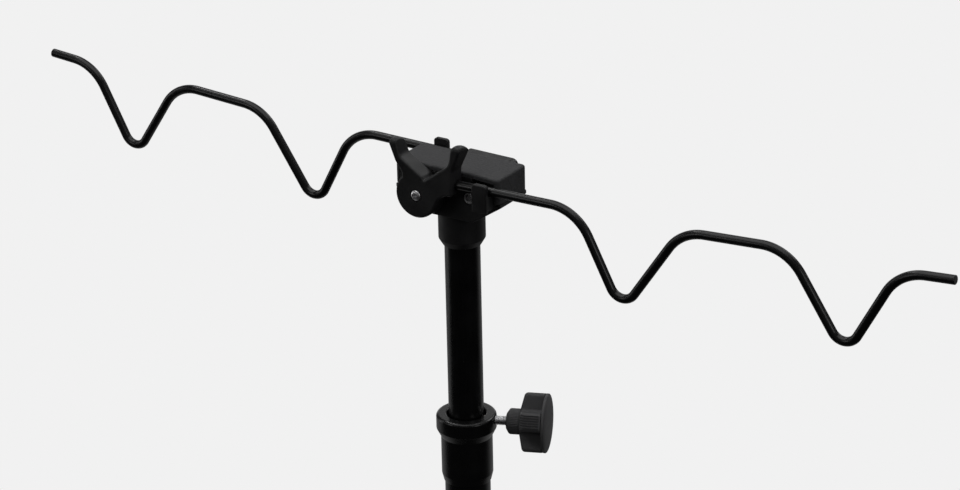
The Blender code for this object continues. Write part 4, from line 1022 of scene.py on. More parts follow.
@dataclass
class Head:
    """The head block with its cover, tube, brackets, pivots and arms, about the arms' level."""

    cover_top: float = 6.5
    length: float = 75.4
    end_foot: float = 12.2
    hull_length: float = 35.0
    hull_depth: float = 25.2
    lip_height: float = 2.5
    cover_thickness: float = 3.0
    front_flare: float = 2.6
    back_flare: float = 1.1
    flare_start: float = 17.9
    flare_round: float = 6.0
    body_edge: float = 0.6
    cover_edge: float = 1.5
    cover_corner: float = 2.9
    pocket_depth: float = 6.0
    pocket_wall: float = 1.55
    pocket_height: float = 6.7
    socket_radius: float = 14.5
    socket_length: float = 17.2
    socket_root: float = 8.0
    socket_chamfer: Pair = (4.4, 2.6)
    post_length: float = 10.2
    post_inset: float = 2.6
    post_corner: float = 2.2
    post_tops: Pair = (5.5, 7.3)
    post_edges: Pair = (0.8, 0.3)
    ledge_inset: Corner = (0.4, 1.2, 0.5)
    ledge_lap: Pair = (0.2, 2.0)
    wire_radius: float = 2.8
    tube_wall: float = 1.5
    rises: Pair = (math.radians(0.5), math.radians(1.2))
    root_runs: Pair = (94.2, 93.4)
    pivot: Pivot = field(default_factory=Pivot)
    place: Matrix = field(init=False)

    def __post_init__(self) -> None:
        """Works the head's frame out from the model's boxes."""
        tube_low, tube_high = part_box("inner_tube")
        middle = (tube_low + tube_high) / 2
        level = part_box("head_cover")[1].z - self.cover_top * MM
        self.place = Matrix.Translation((middle.x, middle.y, level))

    @property
    def body_top(self) -> float:
        """The level of the body's top, under the cover."""
        return self.cover_top - self.cover_thickness - SEAT_GAP

    @property
    def body_half(self) -> float:
        """Half the body's length, inside the cover's ends."""
        return self.length / 2 - self.cover_thickness - SEAT_GAP

    @property
    def lip_top(self) -> float:
        """The level of the lip that the cover's ends stand on."""
        return -(self.end_foot - self.lip_height)

    @property
    def socket_end(self) -> float:
        """The level where the socket's round wall ends."""
        return -self.hull_depth - self.socket_length

    def ledge_level(self, rise: float) -> float:
        """Gives the level of the ledge under an arm that rises by an angle.

        Args:
            rise: The angle.

        Returns:
            The level.
        """
        start = PIVOT_OFFSET + self.length / 2 - self.post_inset - self.post_length
        climb = start * math.tan(rise) + PIVOT_DROP * (1.0 / math.cos(rise) - 1.0)
        return climb - self.wire_radius / math.cos(rise) - SEAT_GAP

    def body(self) -> Piece:
        """Makes the moulded block with its socket, rests, pockets and bores.

        Returns:
            The block.
        """
        lip_end = self.length / 2 - SEAT_GAP
        half = [
            (self.body_half, self.body_top, 0.8), (self.body_half, self.lip_top, 0.0),
            (lip_end, self.lip_top, 0.8), (lip_end, -self.end_foot, 1.0),
            (self.hull_length / 2, -self.hull_depth, 2.0),
        ]
        mirrored = [(-x, z, radius) for x, z, radius in reversed(half)]
        piece = plate(rounded(half + mirrored, closed=True), -BLOCK_FACE, BLOCK_FACE, (self.body_edge,) * 2)
        root = -self.hull_depth + self.socket_root
        tip = self.socket_end - self.socket_chamfer[0]
        combine(piece, turned([
            (0.0, root, 0.0), (self.socket_radius, root, 0.0), (self.socket_radius, self.socket_end, 0.8),
            (self.socket_radius - self.socket_chamfer[1], tip, 0.5), (0.0, tip, 0.0),
        ]), Joinery.ADD)
        self.add_rests(piece)
        self.cut_body(piece)
        return smooth(piece)

    def add_rests(self, piece: Piece) -> None:
        """Adds the ledge and post that each arm lies on and behind.

        Args:
            piece: The block.
        """
        post_end = self.length / 2 - self.post_inset
        post_start = post_end - self.post_length
        channel = WIRE_PLANE + self.wire_radius + SEAT_GAP
        for i, (rise, top) in enumerate(zip(self.rises, self.post_tops)):
            outline = rounded([
                (post_start, -self.end_foot, 0.6), (post_end, -self.end_foot, 0.6),
                (post_end, top, self.post_corner), (post_start, top, self.post_corner),
            ], closed=True)
            post = plate(outline, -BRACKET_FACE, -channel, self.post_edges)
            near, aside, above = self.ledge_inset
            ledge = block((post_start + near, -BRACKET_FACE + aside, -self.end_foot + above),
                          (self.body_half - self.ledge_lap[0], -BLOCK_FACE + self.ledge_lap[1],
                           self.ledge_level(rise)))
            rest = combine(post, ledge, Joinery.ADD)
            combine(piece, moved(rest, about_z(math.pi * i)), Joinery.ADD)

    def cut_body(self, piece: Piece) -> None:
        """Cuts the side pockets, the pivots' and nuts' holes and the tube's bore.

        Args:
            piece: The block.
        """
        outside = BLOCK_FACE + OVERCUT
        nut = self.pivot.nut_height + SEAT_GAP
        for i, way in enumerate((1.0, -1.0)):
            turn = about_z(math.pi * i)
            pocket = block((self.flare_start, -outside, self.body_top - self.pocket_height),
                           (self.body_half - self.pocket_wall, -BLOCK_FACE + self.pocket_depth,
                            self.body_top + OVERCUT))
            combine(piece, moved(pocket, turn))
            place = (-PIVOT_OFFSET * way, 0.0, -PIVOT_DROP)
            combine(piece, along_y(rod(self.pivot.shank_radius + SEAT_GAP, -outside, outside), place))
            seat = along_y(rod(self.pivot.head_radius + SEAT_GAP, BLOCK_FACE - nut, outside))
            combine(piece, moved(seat, Matrix.Translation(place) @ turn))
        radius, _, top = upright("inner_tube", self.place.translation.z)
        bottom = self.socket_end - self.socket_chamfer[0] - OVERCUT
        combine(piece, rod(radius + SEAT_GAP, bottom, top + SEAT_GAP, ROUND_SIDES))

    def cover(self) -> Piece:
        """Makes the grained cover that wraps the block's top and ends.

        Returns:
            The cover.
        """
        side, end = BLOCK_FACE, self.length / 2
        front, back = side + self.front_flare, side + self.back_flare
        corner = self.cover_corner
        plan = rounded([
            (-end, back, corner), (-self.flare_start, side, self.flare_round), (end, side, corner),
            (end, -front, corner), (self.flare_start, -side, self.flare_round), (-end, -side, corner),
        ], closed=True)
        skirt = self.lip_top + SEAT_GAP
        piece = moved(plate(plan, -self.cover_top, -skirt, (self.cover_edge, 0.3)), ALONG_Y)
        inner = self.body_half + SEAT_GAP
        hollow = block((-inner, -front - OVERCUT, skirt - OVERCUT),
                       (inner, front + OVERCUT, self.cover_top - self.cover_thickness))
        return smooth(combine(piece, hollow))

    def build(self) -> None:
        """Builds the head and both arms, and installs each piece."""
        install(self.body(), "head_body", BLACK_MOULDING, self.place)
        install(self.cover(), "head_cover", GRAINED_COVER, self.place)
        tube = pipe(*upright("inner_tube", self.place.translation.z), self.tube_wall)
        install(tube, "inner_tube", ANODISED_TUBE, self.place)
        for i, (side, bracket) in enumerate((("front", ForkedBracket()), ("back", PlainBracket()))):
            drop = Matrix.Translation(Vector((-PIVOT_OFFSET, 0.0, -PIVOT_DROP)) * MM)
            pivot = self.place @ about_z(math.pi * i) @ drop
            arm = pivot @ Matrix.Rotation(-self.rises[i], 4, "Y")
            install(bracket.build(), f"{side}_arm_bracket", BLACK_MOULDING, arm)
            install(ArmWire(self.root_runs[i]).build(), f"{side}_arm_wire", COATED_WIRE, arm)
            install(self.pivot.bolt(), f"{side}_pivot_bolt", PLATED_STEEL, pivot)
            install(self.pivot.nut(), f"{side}_pivot_nut", DARK_STEEL, pivot)
        dress("guide_bush", PALE_BUSH)
        dress("tube_end_plug", BLACK_MOULDING)


# Clamps


@dataclass
class ThumbScrew:
    """A clamp's screw, winged knob and cap, along Z from the tube's axis."""

    tube_radius: float
    pad_thickness: float
    screw_radius: float
    pitch: float
    start: float
    neck_radius: float
    neck_length: float
    head_radius: float
    head_length: float
    wing_width: float
    cap_radius: float
    cap_rim: float
    cap_dome: float
    grooves: int
    start_bevel: float = 0.15
    end_bevel: float = 0.05
    start_slope: float = 0.24
    tip_round: float = 0.42
    root_round: float = 0.5
    grooved_share: float = 0.66
    groove_share: float = 0.4
    rib_depth: float = 0.22
    phase: float = 0.0

    @property
    def neck_end(self) -> float:
        """Where the wings start."""
        return self.start + self.neck_length

    @property
    def head_end(self) -> float:
        """Where the wings end."""
        return self.neck_end + self.head_length

    @property
    def bore_end(self) -> float:
        """Where the screw's bore in the knob ends."""
        return self.neck_end + self.head_length * 0.7

    @property
    def wing_tip(self) -> float:
        """How far out a wing's corners are."""
        return math.sqrt(self.head_radius ** 2 - (self.wing_width / 2) ** 2)

    def screw(self) -> Piece:
        """Makes the threaded screw, its thread one helix.

        Returns:
            The screw.
        """
        low = self.tube_radius + self.pad_thickness + 2 * SEAT_GAP
        high = self.bore_end - SEAT_GAP
        rings_per_turn = 8
        count = round((high - low) / self.pitch * rings_per_turn)
        chamfer = self.screw_radius * 0.2
        climb = high - low - chamfer
        side = [Vector((self.screw_radius, low + chamfer + climb * k / count)) for k in range(count + 1)]
        ends = Vector((0.0, low)), Vector((self.screw_radius - chamfer, low)), Vector((0.0, high))
        piece = spun([*ends[:2], *side, ends[2]], SMALL_SIDES)
        for vertex in piece.data.vertices:
            across = Vector(vertex.co[:2])
            if across.length < self.screw_radius - 0.01 or vertex.co.z > high - self.pitch / 2:
                continue
            turn = math.atan2(across.y, across.x) / FULL_TURN
            wave = (vertex.co.z / self.pitch - turn) % 1.0
            cut = self.pitch * 0.5 * (1.0 - abs(2.0 * wave - 1.0)) ** 1.2
            scale = (self.screw_radius - cut) / across.length
            vertex.co.x *= scale
            vertex.co.y *= scale
        return smooth(piece, THREAD_SHARP)

    def outline(self) -> list[Vector]:
        """Draws the cross-shaped outline of the wings.

        Returns:
            Its points.
        """
        half = self.wing_width / 2
        wing = [(self.wing_tip, -half, half * self.tip_round), (self.wing_tip, half, half * self.tip_round),
                (half, half, half * self.root_round)]
        corners = []
        for i in range(4):
            for across, up, radius in wing:
                place = Matrix.Rotation(math.pi / 2 * i, 2) @ Vector((across, up))
                corners.append((place.x, place.y, radius))
        return rounded(corners, closed=True)

    def knob(self) -> Piece:
        """Makes the knob: four grooved wings on a ribbed neck.

        Returns:
            The knob.
        """
        edges = (self.wing_width * self.start_bevel, self.wing_width * self.end_bevel)
        piece = moved(plate(self.outline(), self.neck_end, self.head_end, edges), ALONG_Y.inverted())
        self.slope(piece)
        spacing = self.wing_width * self.grooved_share / (self.grooves - 1)
        groove = spacing * self.groove_share
        for i in range(4):
            for k in range(self.grooves):
                side = (k - (self.grooves - 1) / 2) * spacing
                tool = rod(groove, self.neck_end - OVERCUT, self.head_end - edges[1] * 2, sides=10)
                across = Matrix.Translation((self.wing_tip - groove * 0.8, side, 0.0))
                combine(piece, moved(tool, about_z(math.pi / 2 * i) @ across))
        inside = self.neck_end + edges[0] * 2
        neck = turned([
            (0.0, self.start, 0.0), (self.neck_radius * 0.64, self.start, 0.6),
            (self.neck_radius, self.start + self.neck_radius * 0.24, 1.6), (self.neck_radius, inside, 0.0),
            (0.0, inside, 0.0),
        ])
        self.rib(neck)
        combine(piece, neck, Joinery.ADD)
        combine(piece, rod(self.screw_radius + SEAT_GAP, self.start - OVERCUT, self.bore_end))
        return smooth(moved(piece, about_z(self.phase)))

    def slope(self, piece: Piece) -> None:
        """Turns the wings' first face into a shallow cone, which starts at the neck.

        Args:
            piece: The wings.
        """
        open_mesh(piece)
        pick_faces(piece, lambda place, normal: normal.z < -0.99 and place.z < self.neck_end + 0.01)
        bpy.ops.mesh.poke()
        deselect()
        for vertex in piece.data.vertices:
            if vertex.co.z < (self.neck_end + self.head_end) / 2:
                vertex.co.z += self.start_slope * (Vector(vertex.co[:2]).length - self.neck_radius)

    def rib(self, neck: Piece) -> None:
        """Draws every second line of the neck in, so that it has fine ribs.

        Args:
            neck: The neck.
        """
        for vertex in neck.data.vertices:
            across = Vector(vertex.co[:2])
            line = round(math.atan2(across.y, across.x) / FULL_TURN * ROUND_SIDES)
            if across.length >= self.neck_radius - 0.05 and line % 2 == 0:
                vertex.co.x *= 1.0 - self.rib_depth / across.length
                vertex.co.y *= 1.0 - self.rib_depth / across.length

    def cap(self) -> Piece:
        """Makes the domed round cap.

        Returns:
            The cap.
        """
        low = self.head_end + SEAT_GAP
        rim = low + self.cap_rim
        steps = 16
        profile = [(0.0, low, 0.0), (self.cap_radius, low, 0.35), (self.cap_radius, rim, 0.0)]
        for k in range(1, steps):
            turn = math.pi / 2 * k / steps
            profile.append((self.cap_radius * math.cos(turn), rim + self.cap_dome * math.sin(turn), 0.0))
        return smooth(turned([*profile, (0.0, rim + self.cap_dome, 0.0)]))

    def parts(self) -> dict[str, Piece]:
        """Makes the screw, knob and cap."""
        return {"screw": self.screw(), "knob": self.knob(), "knob_cap": self.cap()}


def set_clamp(prefix: str, parts: dict[str, Piece], side: Vector) -> None:
    """Sets copies of a thumb screw's parts at one clamp.

    Args:
        prefix: The clamp's name.
        parts: The screw, knob and cap.
        side: The direction of their Y.
    """
    knob = joint(f"{prefix}_knob_turn")
    place = axes(Vector(knob["axis"]), side, Vector(knob["pos_m"]))
    for part, piece in parts.items():
        install(copied(piece), f"{prefix}_{part}", PLATED_STEEL if part == "screw" else KNOB_MOULDING, place)
    dress(f"{prefix}_pad", PALE_BUSH)


@dataclass
class Column:
    """The outer tube, and the collar with the thumb screw that clamps the inner tube in it."""

    ring_radius: float = 18.9
    ring_height: float = 9.4
    ring_round: float = 1.9
    cone: float = 5.5
    sleeve_radius: float = 16.15
    sleeve_length: float = 25.4
    chamfer: float = 4.9
    bore_radius: float = 12.3
    mouth_round: float = 0.9
    shoulder: float = 11.6
    tube_wall: float = 1.6
    screw: ThumbScrew = field(default_factory=lambda: ThumbScrew(
        tube_radius=11.0, pad_thickness=1.8, screw_radius=3.0, pitch=1.0, start=25.7, neck_radius=8.15,
        neck_length=8.6, head_radius=19.4, head_length=15.2, wing_width=11.6, cap_radius=18.6, cap_rim=1.2,
        cap_dome=2.5, grooves=6, phase=math.radians(-25.0)))

    def collar(self, seat: float, drop: float, azimuth: float) -> Piece:
        """Makes the collar, bored for the clamp's screw.

        Args:
            seat: The radius that the outer tube sits in.
            drop: The screw's level.
            azimuth: The screw's direction.

        Returns:
            The collar.
        """
        neck = -self.ring_height - self.cone
        sleeve_end = neck - self.sleeve_length
        end = sleeve_end - self.chamfer
        piece = turned([
            (self.bore_radius, 0.0, self.mouth_round), (self.ring_radius, 0.0, self.ring_round),
            (self.ring_radius, -self.ring_height, 1.6), (self.sleeve_radius, neck, 0.6),
            (self.sleeve_radius, sleeve_end, 0.8), (seat + 0.35, end, 0.1), (seat, end, 0.0),
            (seat, -self.shoulder, 0.0), (self.bore_radius, -self.shoulder, 0.0),
        ], ring=True)
        hole = rod(self.screw.screw_radius + SEAT_GAP, self.bore_radius - 3.0, self.ring_radius + 3.0)
        return smooth(combine(piece, moved(along_x(hole, (0.0, 0.0, drop)), about_z(azimuth))))

    def build(self) -> None:
        """Builds the column's fixed tube and its clamp, and installs each piece."""
        clamp = joint("clamp_knob_turn")
        along, centre = clamp["axis"], clamp["pos_m"]
        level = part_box("clamp_collar")[1].z
        radius, *ends = upright("outer_tube", level)
        place = Matrix.Translation((centre[0], centre[1], level))
        install(pipe(radius, *ends, self.tube_wall), "outer_tube", ANODISED_TUBE, place)
        collar = self.collar(radius + SEAT_GAP, (centre[2] - level) / MM, math.atan2(along[1], along[0]))
        install(collar, "clamp_collar", SATIN_COLLAR, place)
        parts = self.screw.parts()
        set_clamp("clamp", parts, Vector((0.0, 0.0, 1.0)).cross(Vector(along)))
        discard([*parts.values()])


# Hub and legs


@dataclass
class Hub:
    """The hub at the column's foot, with a fork for each leg, about the leg hinges' level."""

    radius: float = 22.0
    above: float = 30.0
    crown: Pair = (3.0, 6.0)
    below: float = 25.0
    ledge_height: float = 7.0
    ledge_width: float = 2.6
    hinge_radius: float = 36.0
    stop_radius: float = 23.0
    ear_thickness: float = 5.0
    ear_radius: float = 11.0
    root_above: float = 18.0
    root_below: float = 15.0
    fork_edge: float = 0.8
    tongue: float = 14.0
    bolt_radius: float = 3.0
    plug_flange: float = 2.4
    plug_spigot: float = 14.0
    tube_radius: float = 14.3

    @property
    def fork_half(self) -> float:
        """Half a fork's width over its two ears."""
        return self.tongue / 2 + SEAT_GAP + self.ear_thickness

    @property
    def seat(self) -> float:
        """The radius that the outer tube sits in."""
        return self.tube_radius + SEAT_GAP

    def body(self, azimuths: list[float]) -> Piece:
        """Makes the hub.

        Args:
            azimuths: The direction of each fork.

        Returns:
            The hub.
        """
        piece = turned([
            (0.0, -self.below, 0.0), (self.radius, -self.below, 1.5),
            (self.radius, self.above - self.crown[1], 2.0), (self.radius - self.crown[0], self.above, 1.0),
            (0.0, self.above, 0.0),
        ])
        root, neck = self.radius * 0.5, self.stop_radius + 3.0
        ear_end, corner = self.hinge_radius + self.ear_radius, self.ear_radius * 0.85
        fork = rounded([
            (root, -self.root_below, 0.0), (neck, -self.root_below, 4.0),
            (ear_end, -self.ear_radius, corner), (ear_end, self.ear_radius, corner),
            (neck, self.root_above, 4.0), (root, self.root_above, 0.0),
        ], closed=True)
        turns = [about_z(azimuth) for azimuth in azimuths]
        for turn in turns:
            ears = plate(fork, -self.fork_half, self.fork_half, (self.fork_edge,) * 2)
            combine(piece, moved(ears, turn), Joinery.ADD)
        slot_half, beyond = self.tongue / 2 + SEAT_GAP, 5.0
        for turn in turns:
            slot = block((self.stop_radius, -slot_half, -self.root_below - beyond),
                         (ear_end + beyond, slot_half, self.root_above + beyond))
            combine(piece, moved(slot, turn))
            hole = rod(self.bolt_radius + SEAT_GAP, -self.fork_half - OVERCUT, self.fork_half + OVERCUT)
            combine(piece, moved(along_y(hole, (self.hinge_radius, 0.0, 0.0)), turn))
        ledge_top = -self.below + self.ledge_height
        combine(piece, rod(self.seat, ledge_top, self.above + OVERCUT, ROUND_SIDES))
        ledge_bore = self.seat - self.ledge_width
        combine(piece, rod(ledge_bore, -self.below - OVERCUT, ledge_top + OVERCUT, ROUND_SIDES))
        return smooth(piece)

    def plug(self) -> Piece:
        """Makes the plug under the hub.

        Returns:
            The plug.
        """
        under = -self.below - SEAT_GAP
        top, bottom = under + self.plug_spigot, under - self.plug_flange
        spigot = self.seat - self.ledge_width - SEAT_GAP
        return smooth(turned([
            (0.0, top, 0.0), (spigot, top, 0.8), (spigot, under, 0.0), (self.seat, under, 0.3),
            (self.seat, bottom, 1.4), (0.0, bottom, 0.0),
        ]))


@dataclass
class Leg:
    """One folding leg, about its hinge, with the leg along -Z."""

    hub: Hub
    splay: float
    tongue_width: float = 20.0
    heel_height: float = 12.0
    shoulder_start: float = 18.0
    shoulder_length: float = 8.0
    spigot_length: float = 30.0
    upper_radius: float = 12.5
    lower_radius: float = 10.0
    wall: float = 1.2
    tube_edge: float = 0.3
    upper_length: float = 380.0
    lower_length: float = 412.0
    overlap: float = 160.0
    sleeve_radius: float = 15.0
    sleeve_length: float = 26.0
    ring_radius: float = 17.0
    ring_height: float = 13.0
    ring_lap: float = 2.0
    sleeve_taper: Pair = (1.8, 2.7)
    bore_gap: float = 0.6
    head_radius: float = 5.0
    head_height: float = 4.0
    key_width: float = 4.0
    key_depth: float = 2.2
    nut_width: float = 10.0
    nut_height: float = 5.0
    nut_chamfer: float = 0.5
    foot_radius: float = 16.0
    foot_flat: float = 9.0
    foot_wall: float = 2.7
    foot_beyond: float = 12.0
    foot_socket: float = 26.0
    groove_step: float = 4.0
    groove_half: float = 0.8
    groove_depth: float = 0.6
    screw: ThumbScrew = field(default_factory=lambda: ThumbScrew(
        tube_radius=10.0, pad_thickness=1.6, screw_radius=2.5, pitch=0.8, start=21.0, neck_radius=6.0,
        neck_length=5.0, head_radius=14.0, head_length=12.0, wing_width=8.6, cap_radius=13.7, cap_rim=1.0,
        cap_dome=2.0, grooves=5))

    @property
    def upper_start(self) -> float:
        """How far along the leg its upper tube starts."""
        return self.shoulder_start + self.shoulder_length + SEAT_GAP

    @property
    def upper_end(self) -> float:
        """How far along the leg its upper tube ends."""
        return self.upper_start + self.upper_length

    @property
    def lower_start(self) -> float:
        """How far along the leg its lower tube starts."""
        return self.upper_end - self.overlap

    @property
    def bolt_bore(self) -> float:
        """The radius of the holes that the hinge bolt goes through."""
        return self.hub.bolt_radius + SEAT_GAP

    def bolt(self) -> Piece:
        """Makes the hinge bolt, its head a low dome with a hexagon socket.

        Returns:
            The bolt.
        """
        shank = self.hub.bolt_radius
        far = self.hub.fork_half + SEAT_GAP
        end = far + self.nut_height + 1.0
        top = -far - self.head_height
        piece = along_y(turned([
            (0.0, top, 0.0), (self.head_radius * 0.7, top, 1.2),
            (self.head_radius, -far - self.head_height * 0.5, 1.0), (self.head_radius, -far, 0.2),
            (shank, -far, 0.1), (shank, end, 0.5), (0.0, end, 0.0),
        ], SMALL_SIDES))
        key = rod(self.key_width / math.sqrt(3), top - OVERCUT, top + self.key_depth, sides=6)
        return smooth(combine(piece, along_y(key)))

    def nut(self) -> Piece:
        """Makes the hexagon nut, its corners drawn in.

        Returns:
            The nut.
        """
        low = self.hub.fork_half + SEAT_GAP
        high = low + self.nut_height
        half, circle = self.nut_width / 2, self.nut_width / math.sqrt(3)
        wide, under, over = circle + 0.1, low - OVERCUT, high + OVERCUT
        piece = rod(circle, low, high, sides=6)
        combine(piece, turned([
            (0.0, under, 0.0), (half, under, 0.0), (half, low, 0.0), (wide, low + self.nut_chamfer, 0.0),
            (wide, high - self.nut_chamfer, 0.0), (half, high, 0.0), (half, over, 0.0), (0.0, over, 0.0),
        ], SMALL_SIDES), Joinery.SHARE)
        return smooth(along_y(combine(piece, rod(self.bolt_bore, low - OVERCUT, high + OVERCUT))))

    def fitting(self) -> Piece:
        """Makes the tongue that hinges in the hub, with its spigot.

        Returns:
            The fitting.
        """
        half, side = self.tongue_width / 2, self.hub.tongue / 2
        stop = self.hub.hinge_radius - self.hub.stop_radius - SEAT_GAP
        cosine, sine = math.cos(self.splay), math.sin(self.splay)
        heel = stop * sine + (stop * cosine - half) / sine * cosine
        high = stop * sine + self.heel_height * cosine
        root = -self.shoulder_start
        piece = plate(rounded([
            (-half, root - 1.0, 0.0), (-half, heel, 1.5),
            (-stop * cosine + self.heel_height * sine, high, 2.0), (half * 0.45, high, 3.0),
            (half, heel * 0.5, 5.0), (half, root - 1.0, 0.0),
        ], closed=True), -side, side, (0.7, 0.7))
        spigot = self.upper_radius - self.wall - SEAT_GAP
        end = root - self.shoulder_length
        combine(piece, turned([
            (0.0, root + 3.0, 0.0), (side * 0.9, root + 3.0, 0.5), (self.upper_radius, root - 2.0, 1.0),
            (self.upper_radius, end, 0.3), (spigot, end, 0.0), (spigot, end - self.spigot_length, 0.8),
            (0.0, end - self.spigot_length, 0.0),
        ]), Joinery.ADD)
        return smooth(combine(piece, along_y(rod(self.bolt_bore, -side - OVERCUT, side + OVERCUT))))

    def collar(self) -> Piece:
        """Makes the collar that clamps the lower tube.

        Returns:
            The collar.
        """
        seat = self.upper_radius + SEAT_GAP
        bore = self.lower_radius + self.bore_gap
        shoulder = -self.upper_end - SEAT_GAP
        top = -self.upper_end + self.sleeve_length
        ring_top = shoulder + self.ring_lap
        bottom = ring_top - self.ring_height
        inward, taper = self.sleeve_taper
        piece = turned([
            (seat, top, 0.0), (self.sleeve_radius - inward, top, 0.5), (self.sleeve_radius, top - taper, 0.8),
            (self.sleeve_radius, ring_top + taper, 0.6), (self.ring_radius, ring_top, 1.0),
            (self.ring_radius, bottom, 1.6), (bore, bottom, 0.5), (bore, shoulder, 0.0),
            (seat, shoulder, 0.0),
        ], ring=True)
        hole = rod(self.screw.screw_radius + SEAT_GAP, bore - 3.0, self.ring_radius + 3.0)
        return smooth(combine(piece, along_x(hole, (0.0, 0.0, (shoulder + bottom) / 2))))

    def foot(self) -> Piece:
        """Makes the rubber foot, cut flat where it stands.

        Returns:
            The foot.
        """
        end = -self.lower_start - self.lower_length
        centre = end - self.foot_beyond
        seat = self.lower_radius + SEAT_GAP
        neck = seat + self.foot_wall
        top = end + self.foot_socket
        neck_angle = math.acos(neck / self.foot_radius)
        steps = 24
        profile = [(0.0, centre - self.foot_radius, 0.0)]
        for k in range(1, steps + 1):
            turn = -math.pi / 2 + (math.pi / 2 + neck_angle) * k / steps
            level = centre + self.foot_radius * math.sin(turn)
            profile.append((self.foot_radius * math.cos(turn), level, 0.0))
        margin = self.groove_step * 0.7
        level = profile[-1][1] + margin
        while level < top - margin:
            profile += [(neck, level - self.groove_half, 0.2), (neck - self.groove_depth, level, 0.3),
                        (neck, level + self.groove_half, 0.2)]
            level += self.groove_step
        floor = end - SEAT_GAP
        profile += [(neck, top, 0.9), (seat, top, 0.3), (seat, floor, 0.0), (0.0, floor, 0.0)]
        piece = turned(profile)
        down = Vector((-math.sin(self.splay), 0.0, -math.cos(self.splay)))
        height = math.sqrt(self.foot_radius ** 2 - self.foot_flat ** 2)
        open_mesh(piece)
        bpy.ops.mesh.bisect(plane_co=Vector((0.0, 0.0, centre)) + down * height, plane_no=down,
                            use_fill=True, clear_outer=True, threshold=1e-4)
        turn_outwards(merge=False)
        deselect()
        return smooth(piece)

    def patterns(self) -> dict[str, tuple[Piece, Finish]]:
        """Makes one of each piece that turns with the leg.

        Returns:
            Each piece with its finish, by the last part of its name.
        """
        foot_end = -self.lower_start - self.lower_length
        upper = pipe(self.upper_radius, -self.upper_end, -self.upper_start, self.wall, self.tube_edge)
        lower = pipe(self.lower_radius, foot_end, -self.lower_start, self.wall, self.tube_edge)
        return {"fitting": (self.fitting(), BLACK_MOULDING), "upper_tube": (upper, ANODISED_TUBE),
                "collar": (self.collar(), SATIN_COLLAR), "lower_tube": (lower, ANODISED_TUBE),
                "foot": (self.foot(), BLACK_RUBBER)}


@dataclass
class Stand:
    """The hub and its three legs."""

    names: tuple[str, ...] = ("front_leg", "right_leg", "left_leg")
    hub: Hub = field(default_factory=Hub)

    def build(self) -> None:
        """Builds the hub and one leg, and installs a copy of the leg at each hinge."""
        centre = joint("clamp_knob_turn")["pos_m"]
        hinges = [Vector(joint(f"{name}_fold")["pos_m"]) for name in self.names]
        azimuths = [math.atan2(place.y - centre[1], place.x - centre[0]) for place in hinges]
        place = Matrix.Translation((centre[0], centre[1], hinges[0].z))
        install(self.hub.body(azimuths), "leg_hub", BLACK_MOULDING, place)
        install(self.hub.plug(), "hub_plug", BLACK_MOULDING, place)
        leg = Leg(self.hub, math.acos(-Vector(joint(f"{self.names[0]}_slide")["axis"]).z))
        patterns = leg.patterns()
        fasteners = {"hinge_bolt": leg.bolt(), "hinge_nut": leg.nut()}
        clamp_parts = leg.screw.parts()
        for name, azimuth, hinge in zip(self.names, azimuths, hinges):
            level = Matrix.Translation(hinge) @ about_z(azimuth)
            along = level @ Matrix.Rotation(-leg.splay, 4, "Y")
            for part, (piece, finish) in patterns.items():
                install(copied(piece), f"{name}_{part}", finish, along, tuple(along.to_euler()))
            for part, piece in fasteners.items():
                install(copied(piece), f"{name}_{part}", PLATED_STEEL, level)
            set_clamp(name, clamp_parts, Vector(joint(f"{name}_fold")["axis"]))
            dress(f"{name}_guide_bush", PALE_BUSH)
        discard([*(piece for piece, _ in patterns.values()), *fasteners.values(), *clamp_parts.values()])


# Studio


@dataclass(frozen=True)
class Softbox:
    """A lamp: where it hangs, what it points at, its size in metres and its radiance."""

    name: str
    place: Corner
    target: Corner
    size: Pair
    radiance: float

    def hang(self) -> None:
        """Hangs the lamp."""
        data = bpy.data.lights.new(self.name, "AREA")
        data.shape = "RECTANGLE"
        data.size, data.size_y = self.size
        data.energy = self.radiance * math.pi * self.size[0] * self.size[1]
        lamp = bpy.data.objects.new(self.name, data)
        lamp.location = self.place
        lamp.rotation_euler = (Vector(self.target) - Vector(self.place)).to_track_quat("-Z", "Y").to_euler()
        bpy.context.scene.collection.objects.link(lamp)


